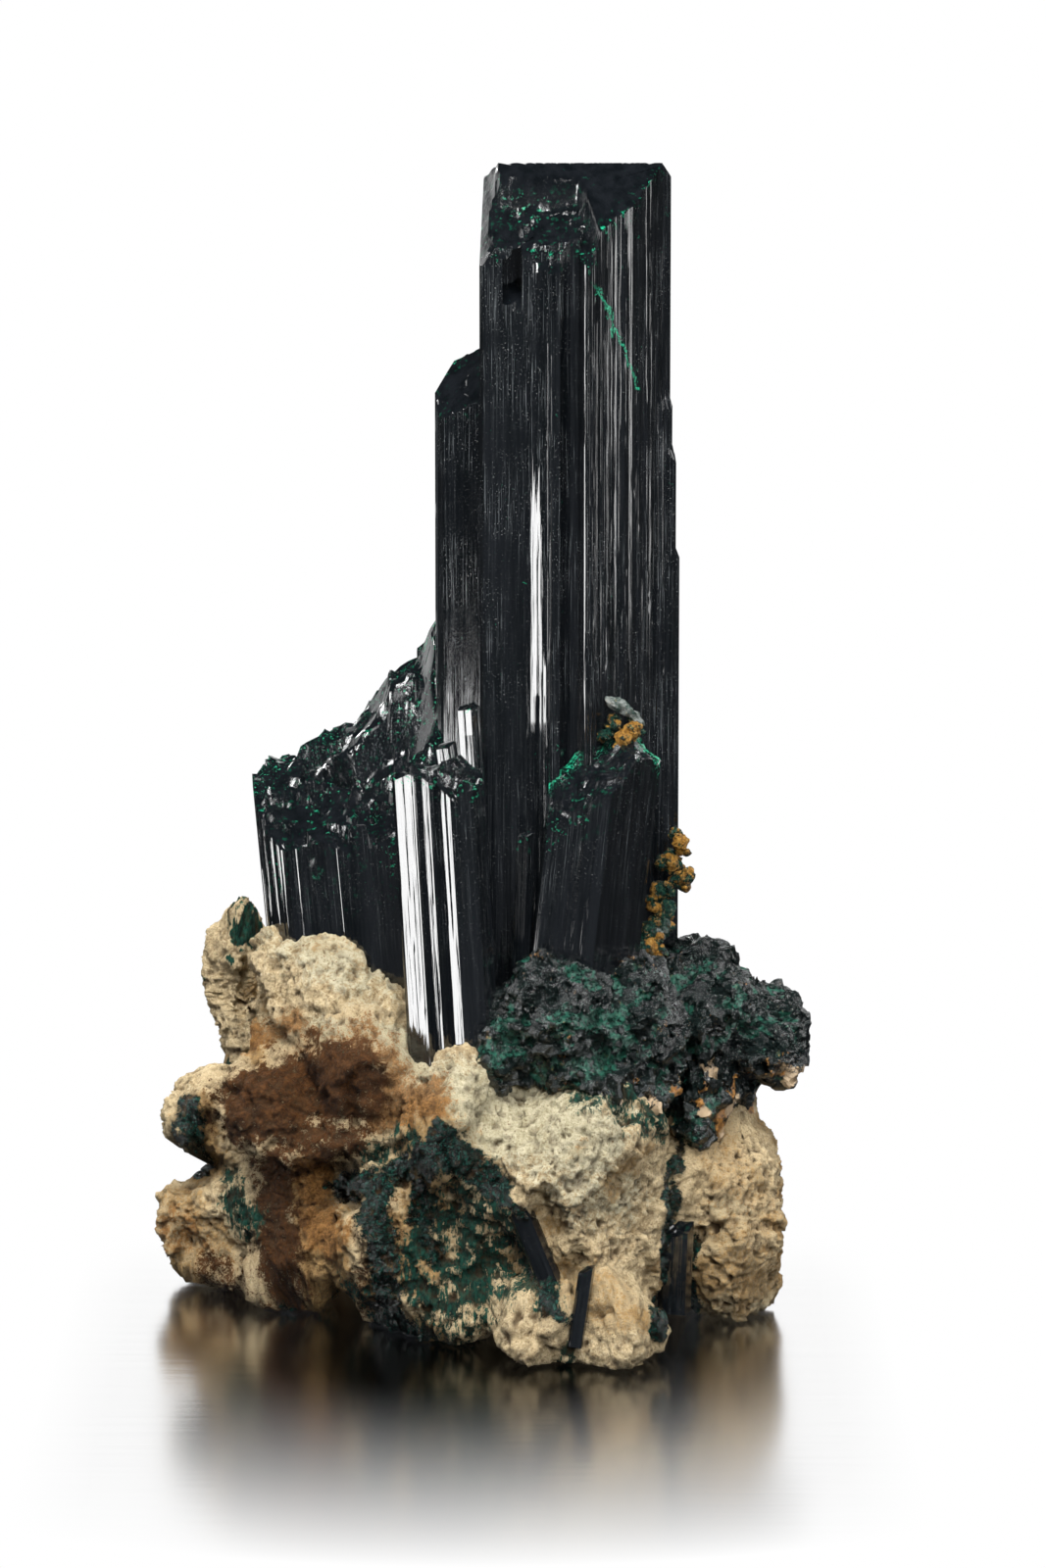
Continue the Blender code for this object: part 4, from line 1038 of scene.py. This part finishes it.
def build_tall(finish):
    starts = outline_at(TALL_OUTLINE, np.zeros(1))[2]
    front = starts[1]
    layers = grown_layers(
        TALL_OUTLINE,
        ((1, 14, 0.010), (6, 34, 0.045), (7, 16, 0.05), (8, 10, 0.06), (9, 10, 0.08), (10, 9, 0.10),
         (12, 4, 0.05), (13, 4, 0.05), (14, 4, 0.05), (15, 4, 0.05)),
        76, 7,
    )  # fmt: skip
    toward, away = (0.0, -1.0), (0.0, 1.0)
    layers += [
        (1, front + 2.9, front + 5.25, 1.95, 0.10, 0.80, 5, 71.6, 0.3, toward),
        (1, front + 3.20, front + 4.9, 0.70, 0.60, 0.24, 5, 62.0, 9.0, toward),
        (1, front + 3.60, front + 4.5, 0.14, 0.10, 0.07, 5, 56.0, 3.0, toward),
        (1, front + 4.05, front + 4.5, 0.16, 0.10, 0.07, 20, 47.0, 3.0, toward),
        (1, front + 4.3, front + 4.6, 0.05, 0.05, 0.06, 5, 66.0, 0.3, toward),
        (1, front + 1.3, front + 2.6, 0.04, 0.04, 2.6, 69.4, 90, 0.3, away),
        (10, starts[10] + 0.3, starts[11] - 0.05, 0.2, 0.03, 0.25, 5, 62.0, 0.3, (0.8, -0.6)),
        (10, starts[10] + 0.8, starts[11] - 0.02, 0.2, 0.03, 0.28, 5, 58.4, 0.3, (0.8, -0.6)),
        (11, starts[11] + 0.03, starts[12] - 0.1, 0.03, 0.3, 0.45, 5, 58.4, 0.3, (1.0, 0.0)),
        (11, starts[11] + 0.03, starts[12] - 0.1, 0.03, 0.3, 0.25, 5, 51.4, 0.3, (1.0, 0.0)),
    ]
    piece = crystal("tall_prism", TALL_OUTLINE, 13, tall_end, layers, finish, rows=100, cap_rows=44)
    put(piece, "atacamite_crystal", "tall_crystal")


REAR_OUTLINE = ((-3.0, 2.9), (-2.6, 2.0), (0.35, 1.03), (0.35, 6.6), (-1.9, 7.2), (-3.2, 5.0))
BROKEN_OUTLINE = (
    (-15.3, 0.6), (-15.0, -1.2), (-13.2, -3.3), (-8.6, -4.4), (-5.0, -4.7), (-3.2, -3.0),
    (-2.0, 3.0), (-2.0, 8.6), (-9.0, 9.4), (-13.5, 7.0), (-15.5, 3.6),
)  # fmt: skip
FRONT_LEFT_OUTLINE = (
    (-3.05, 0.6), (-3.05, -0.5), (-2.85, -0.8), (-1.6, -1.68), (-1.2, -1.36), (-0.62, -1.78),
    (-0.1, -1.44), (0.75, -2.05), (2.3, -1.9), (3.05, -0.9), (2.95, 1.5), (0.2, 2.7), (-2.4, 2.1),
)  # fmt: skip
FRONT_RIGHT_OUTLINE = (
    (-3.6, 0.6), (-3.45, -1.9), (0.55, -2.6), (2.9, 0.2), (3.7, 1.6), (2.1, 3.0), (-2.0, 3.2),
    (-3.6, 2.0),
)  # fmt: skip
NEEDLE = ((-0.75, 0.25), (-0.7, -0.05), (0.15, -0.67), (0.75, -0.1), (0.4, 0.7), (-0.4, 0.6))


def build_crystals():
    finish = crystal_finish()
    build_tall(finish)
    slot = "atacamite_crystal"
    layers = grown_layers(REAR_OUTLINE, ((1, 6, 0.012), (0, 2, 0.03), (5, 4, 0.08), (3, 4, 0.1)), 60, 8)
    end = sloping_end((-1.6, 2.6, 61.6), (-0.46, -0.44, 0.77), 0.06, 150)
    put(crystal("rear_prism", REAR_OUTLINE, 13, end, layers, finish, 90, 20), slot, "rear_crystal")

    rules = [(k, c, 0.03) for k, c in ((0, 6), (1, 6), (2, 9), (3, 7), (4, 5), (6, 6), (7, 8), (8, 8), (9, 6))]
    layers = grown_layers(BROKEN_OUTLINE, rules, 20, 9)
    put(
        crystal("broken_stump", BROKEN_OUTLINE, -8, snapped_end, layers, finish, 50, 56,
                (0.8, 0.0, 24.0), -5.0, 0.06, 3.0, 0.5),
        slot, "broken_crystal",
    )  # fmt: skip

    layers = grown_layers(FRONT_LEFT_OUTLINE, [(k, 4, 0.025) for k in range(2, 9)], 20, 10)
    end = sloping_end((-2.9, -9.6, 38.0), (0.10, -0.20, 0.97), 0.55, 151)
    put(
        crystal("grooved_prism", FRONT_LEFT_OUTLINE, -6, end, layers, finish, 70, 26,
                (-1.75, -9.3, 18.3), -3.2),
        slot, "front_left_crystal",
    )  # fmt: skip

    layers = grown_layers(FRONT_RIGHT_OUTLINE, ((1, 9, 0.014), (2, 14, 0.04), (3, 5, 0.06)), 16, 11)
    end = sloping_end((7.2, -7.0, 36.9), (-0.46, -0.42, 0.80), 0.45, 152,
                      ((11.4, -6.0, 38.4), (0.62, -0.2, 0.75)))  # fmt: skip
    put(
        crystal("leaning_stub", FRONT_RIGHT_OUTLINE, -4, end, layers, finish, 60, 36,
                (6.7, -6.6, 23.0), 6.0, 0.05, 1.5, 1.0),
        slot, "front_right_crystal",
    )  # fmt: skip

    small = (
        ("tall_needle", "needle_tall", 1.05, 0, (0.35, -4.3, 22.0), 19.8, -3.5),
        ("short_needle", "needle_short", 0.95, 0, (0.1, -5.9, 22.0), 17.4, -8.0),
        ("thin_blade", "small_blade", 0.8, 0, (2.55, -7.2, 21.0), 12.6, 2.0),
        ("pocket_prism", "pocket_crystal", 0.72, 30, (6.3, -18.0, 1.3), 5.2, 8.0),
        ("seam_prism", "seam_blade", 1.1, 24, (5.2, -16.2, 3.8), 6.6, -22.0),
        ("crevice_prism", "crevice_crystal", 1.5, 26, (13.0, -10.4, 1.6), 5.6, 2.0),
    )
    for name, node, width, turn, foot, length, lean in small:
        c, s = width * math.cos(math.radians(turn)), width * math.sin(math.radians(turn))
        corners = [(x * c - y * s, x * s + y * c) for x, y in NEEDLE]
        crown = (foot[0] + math.sin(math.radians(lean)) * length, foot[1], foot[2] + length)
        end = sloping_end(crown, (-0.35, -0.25, 0.9), 0.12, 160 + len(name))
        layers = grown_layers(corners, [(k, 3, 0.04) for k in range(6)], length, len(node))
        piece = crystal(name, corners, 0.0, end, layers, finish, 36, 12, foot, lean)
        put(piece, slot, node)


# Grains caked on the specimen: middle, size, and the range of their tint (0 iron, 0.5 dark, 1 pale).
STAINED = (
    ((13.2, -0.8, 32.6), 0.6, (0.3, 0.9)), ((13.5, -0.9, 31.6), 0.8, (0.0, 0.5)),
    ((12.9, -1.0, 30.6), 1.0, (0.0, 0.7)), ((13.6, -1.2, 29.4), 1.0, (0.0, 0.5)),
    ((12.5, -1.6, 28.9), 0.9, (0.3, 0.9)), ((12.2, -2.0, 27.6), 1.3, (0.4, 0.8)),
    ((12.4, -2.2, 26.2), 1.0, (0.4, 0.9)), ((11.4, -2.9, 26.0), 1.1, (0.2, 0.9)),
    ((11.6, -3.2, 24.7), 1.1, (0.1, 0.8)), ((10.3, -4.3, 24.6), 1.3, (0.2, 1.0)),
    ((11.0, -3.9, 23.4), 1.0, (0.0, 0.5)),
)  # fmt: skip
PERCHED = (
    ((9.6, -4.4, 39.6), 0.9, (0.0, 0.3)), ((10.0, -4.3, 40.3), 0.7, (0.0, 0.4)),
    ((8.4, -3.8, 39.6), 0.9, (0.5, 0.8)), ((9.0, -3.8, 40.8), 0.7, (0.5, 0.8)),
)  # fmt: skip
PLATES = (
    ((9.3, -4.3, 41.9), (1.3, 0.50, 0.50), 41, 0.95, -0.62),
    ((10.3, -4.3, 41.2), (1.1, 0.42, 0.30), 42, 0.95, -0.80),
    ((10.4, -4.2, 40.5), (0.9, 0.42, 0.42), 43, 0.60, -0.90),
)  # fmt: skip


def build_grains():
    finish = stain_finish()
    stained = cluster(STAINED, 8, 21)
    put(grains_mesh("iron_grains", stained, finish), "iron_stain", "stained_grains")
    perched = [*cluster(PERCHED, 10, 22), *PLATES]
    put(grains_mesh("top_grains", perched, finish), "iron_stain", "perched_grain")


# A painted shadow on the table in front of the specimen, a dim patch that darkens its mirror: a stretch and a shift
# that make it a unit disc.
SHADE_SCALE = (1 / 16.0, 1 / 19.0, 1.0)
SHADE_SHIFT = (0.0, 1.1, 0.0)


def build_floor():
    """A wide white table that mirrors the foot of the specimen, less and less with distance, with a painted shadow
    in front.
    """
    n = Nodes("pale_floor")
    place = n.place_mm()
    flat = n.add("VectorMath", {0: place, 1: (1.0, 1.0, 0.0)}, operation="MULTIPLY").outputs[0]
    away = n.add("VectorMath", {0: flat}, operation="LENGTH").outputs["Value"]
    streak = n.noise(n.stretched(place, (0.06, 0.9, 1.0)), 1.0, 3.0)
    gone = n.ramp(away, 20.0, 60.0)
    grazing = n.ramp(n.add("LayerWeight").outputs["Facing"], 0.20, 0.70)
    share = n.math("MULTIPLY", grazing, n.math("SUBTRACT", 1.0, n.math("MULTIPLY", gone, gone)))
    along = n.add("SeparateXYZ", {0: place}).outputs
    beside = n.ramp(n.math("ABSOLUTE", along["X"], 0.0), 28.0, 23.5)
    share = n.math("MULTIPLY", n.math("MULTIPLY", share, beside), n.ramp(along["Y"], 18.0, 4.0))
    n.shader.inputs["Metallic"].default_value = 1.0
    spot = n.add("Mapping", {"Vector": flat, "Location": SHADE_SHIFT, "Scale": SHADE_SCALE})
    from_shade = n.add("VectorMath", {0: spot.outputs[0]}, operation="LENGTH").outputs["Value"]
    # Painted shadow: the mirror's colour drops to dark inside the disc in front of the specimen.
    painted_shadow_tone = n.ramp(from_shade, 0.45, 1.15, 0.11, 0.85)
    n.feed(n.shader.inputs["Base Color"], painted_shadow_tone)
    n.shader.inputs["Roughness"].default_value = 0.20
    n.feed(n.shader.inputs["Normal"], n.bump(streak, 0.05, 0.25))
    white = n.add("Emission", {"Color": (1.0, 1.0, 1.0, 1.0), "Strength": 1.0})
    mix = n.add("MixShader", {0: share, 1: white.outputs[0], 2: n.shader.outputs[0]})
    n.tree.links.new(mix.outputs[0], n.tree.nodes["Material Output"].inputs[0])
    size, low = 8.0, -0.0002
    mesh = bpy.data.meshes.new("table")
    corners = [(-size, -size, low), (size, -size, low), (size, size, low), (-size, size, low)]
    mesh.from_pydata(corners, [], [(0, 1, 2, 3)])
    mesh.materials.append(n.finish)
    floor = bpy.data.objects.new("table", mesh)
    bpy.context.scene.collection.objects.link(floor)
    floor.visible_glossy = False
    floor.visible_diffuse = False


def aim(obj, target):
    from mathutils import Vector

    way = Vector(target) - obj.location
    obj.rotation_euler = way.to_track_quat("-Z", "Y").to_euler()


def soft_box(name, azimuth, elevation, distance, size, power, seen_by):
    """A rectangular lamp on a sphere round the specimen; azimuth 0 is the viewer, -90 the left.

    A lamp shows in gloss, for the mirrored bars on the prisms, on matt surfaces, or in both.
    """
    lamp = bpy.data.lights.new(name, "AREA")
    lamp.shape = "RECTANGLE"
    lamp.size, lamp.size_y = size
    lamp.energy = power
    obj = bpy.data.objects.new(name, lamp)
    a, e = math.radians(azimuth), math.radians(elevation)
    middle = (0.0, 0.0, 0.04)
    obj.location = (
        distance * math.sin(a) * math.cos(e),
        -distance * math.cos(a) * math.cos(e),
        middle[2] + distance * math.sin(e),
    )
    obj.visible_camera = False
    obj.visible_glossy = "gloss" in seen_by
    obj.visible_diffuse = "matt" in seen_by
    bpy.context.scene.collection.objects.link(obj)
    aim(obj, middle)


def light_world():
    """White behind everything the camera sees; for gloss, white only in a band over the horizon."""
    world = bpy.data.worlds.new("studio")
    bpy.context.scene.world = world
    world.use_nodes = True
    tree = world.node_tree

    def add(kind, **settings):
        node = tree.nodes.new(f"ShaderNode{kind}")
        for key, value in settings.items():
            setattr(node, key, value)
        return node

    def glow(colour, strength):
        node = add("Background")
        node.inputs["Color"].default_value = (*colour, 1.0)
        node.inputs["Strength"].default_value = strength
        return node

    def mix(share, under, over):
        node = add("MixShader")
        tree.links.new(share, node.inputs[0])
        tree.links.new(under.outputs[0], node.inputs[1])
        tree.links.new(over.outputs[0], node.inputs[2])
        return node

    def add_half(value):
        node = add("Math", operation="MULTIPLY_ADD")
        tree.links.new(value, node.inputs[0])
        node.inputs[1].default_value = 0.5
        node.inputs[2].default_value = 0.5
        return node.outputs[0]

    path = add("LightPath")
    up = add("SeparateXYZ")
    tree.links.new(add("TexCoord").outputs["Generated"], up.inputs[0])
    band = add("ValToRGB")
    tree.links.new(up.outputs["Z"], band.inputs[0])
    stops = band.color_ramp.elements
    stops[0].position, stops[0].color = 0.0, (0, 0, 0, 1)
    stops[1].position, stops[1].color = 0.02, (1, 1, 1, 1)
    for place, level in ((0.34, 1.0), (0.48, 0.0)):
        stops.new(place).color = (level, level, level, 1)
    across = add("ValToRGB")
    tree.links.new(add_half(up.outputs["X"]), across.inputs[0])
    stops = across.color_ramp.elements
    stops[0].position, stops[0].color = 0.0, (0.02, 0.02, 0.02, 1)
    stops[1].position, stops[1].color = 1.0, (0.03, 0.03, 0.03, 1)
    for place, level in ((0.25, 0.035), (0.38, 0.13), (0.45, 0.13), (0.50, 0.05), (0.55, 0.12), (0.66, 0.12),
                         (0.8, 0.05)):
        stops.new(place).color = (level * 0.66, level * 0.72, level * 0.80, 1)
    dim = add("Background")
    tree.links.new(across.outputs["Color"], dim.inputs["Color"])
    high = add("Math", operation="GREATER_THAN")
    tree.links.new(up.outputs["Z"], high.inputs[0])
    high.inputs[1].default_value = 0.4
    dark = mix(high.outputs[0], dim, glow((1, 1, 1), 0.015))
    beside = add("MapRange")
    tree.links.new(up.outputs["Y"], beside.inputs["Value"])
    beside.inputs["From Min"].default_value, beside.inputs["From Max"].default_value = -0.25, 0.0
    both = add("Math", operation="MULTIPLY")
    tree.links.new(band.outputs["Color"], both.inputs[0])
    tree.links.new(beside.outputs["Result"], both.inputs[1])
    gloss = mix(both.outputs[0], dark, glow((1, 1, 1), 1.18))
    matt = glow((0.92, 0.95, 1.0), 0.10)
    seen = mix(path.outputs["Is Glossy Ray"], matt, gloss)
    seen = mix(path.outputs["Is Camera Ray"], seen, glow((1, 1, 1), 1.0))
    tree.links.new(seen.outputs[0], tree.nodes["World Output"].inputs[0])


# Small lamps that only gloss shows, as glints on broken faces: degrees round from the viewer, and up.
SPARKS = (
    (-60, 18), (-35, 45), (15, 60), (50, 25), (75, 45), (120, 30), (-150, 20),
    (-15, 32), (34, 14), (95, 12), (22, 38),
)  # fmt: skip


def light_scene():
    light_world()
    soft_box("left_bar", -75, -10, 0.55, (0.25, 0.22), 1.7, ("gloss",))
    soft_box("left_low", -36, -10.2, 0.55, (0.12, 0.012), 0.05, ("gloss",))
    soft_box("right_bar", 74, -2.0, 0.60, (0.08, 0.12), 0.14, ("gloss",))
    for number, (azimuth, elevation) in enumerate(SPARKS):
        soft_box(f"spark_{number}", azimuth, elevation, 0.60, (0.05, 0.05), 0.30, ("gloss",))
    soft_box("left_sheen", -30, 28, 0.60, (0.14, 0.10), 0.12, ("gloss",))
    soft_box("right_sheen", 42, 33, 0.60, (0.14, 0.12), 0.16, ("gloss",))
    soft_box("top_soft", -15, 62, 0.60, (0.34, 0.28), 8.0, ("matt",))
    soft_box("front_soft", 15, 22, 0.70, (0.20, 0.20), 3.6, ("matt",))
    soft_box("left_soft", -80, 30, 0.60, (0.20, 0.20), 1.6, ("matt",))
    soft_box("right_soft", 80, 32, 0.60, (0.20, 0.20), 1.5, ("matt",))
    soft_box("back_soft", 180, 50, 0.60, (0.36, 0.30), 4.0, ("matt",))


def place_camera():
    lens = bpy.data.cameras.new("view")
    lens.lens = 135
    lens.sensor_width = 36
    camera = bpy.data.objects.new("view", lens)
    target = (VIEW_AIM + SLIDE) * MM
    rise, away = math.radians(VIEW_RISE), VIEW_DISTANCE * MM
    camera.location = (target[0], target[1] - away * math.cos(rise), target[2] + away * math.sin(rise))
    bpy.context.scene.collection.objects.link(camera)
    aim(camera, tuple(target))
    bpy.context.scene.camera = camera


build_rock()
build_crust()
build_crystals()
build_grains()
build_floor()
light_scene()
place_camera()
bpy.context.scene.view_settings.view_transform = "Standard"
bpy.context.view_layer.update()
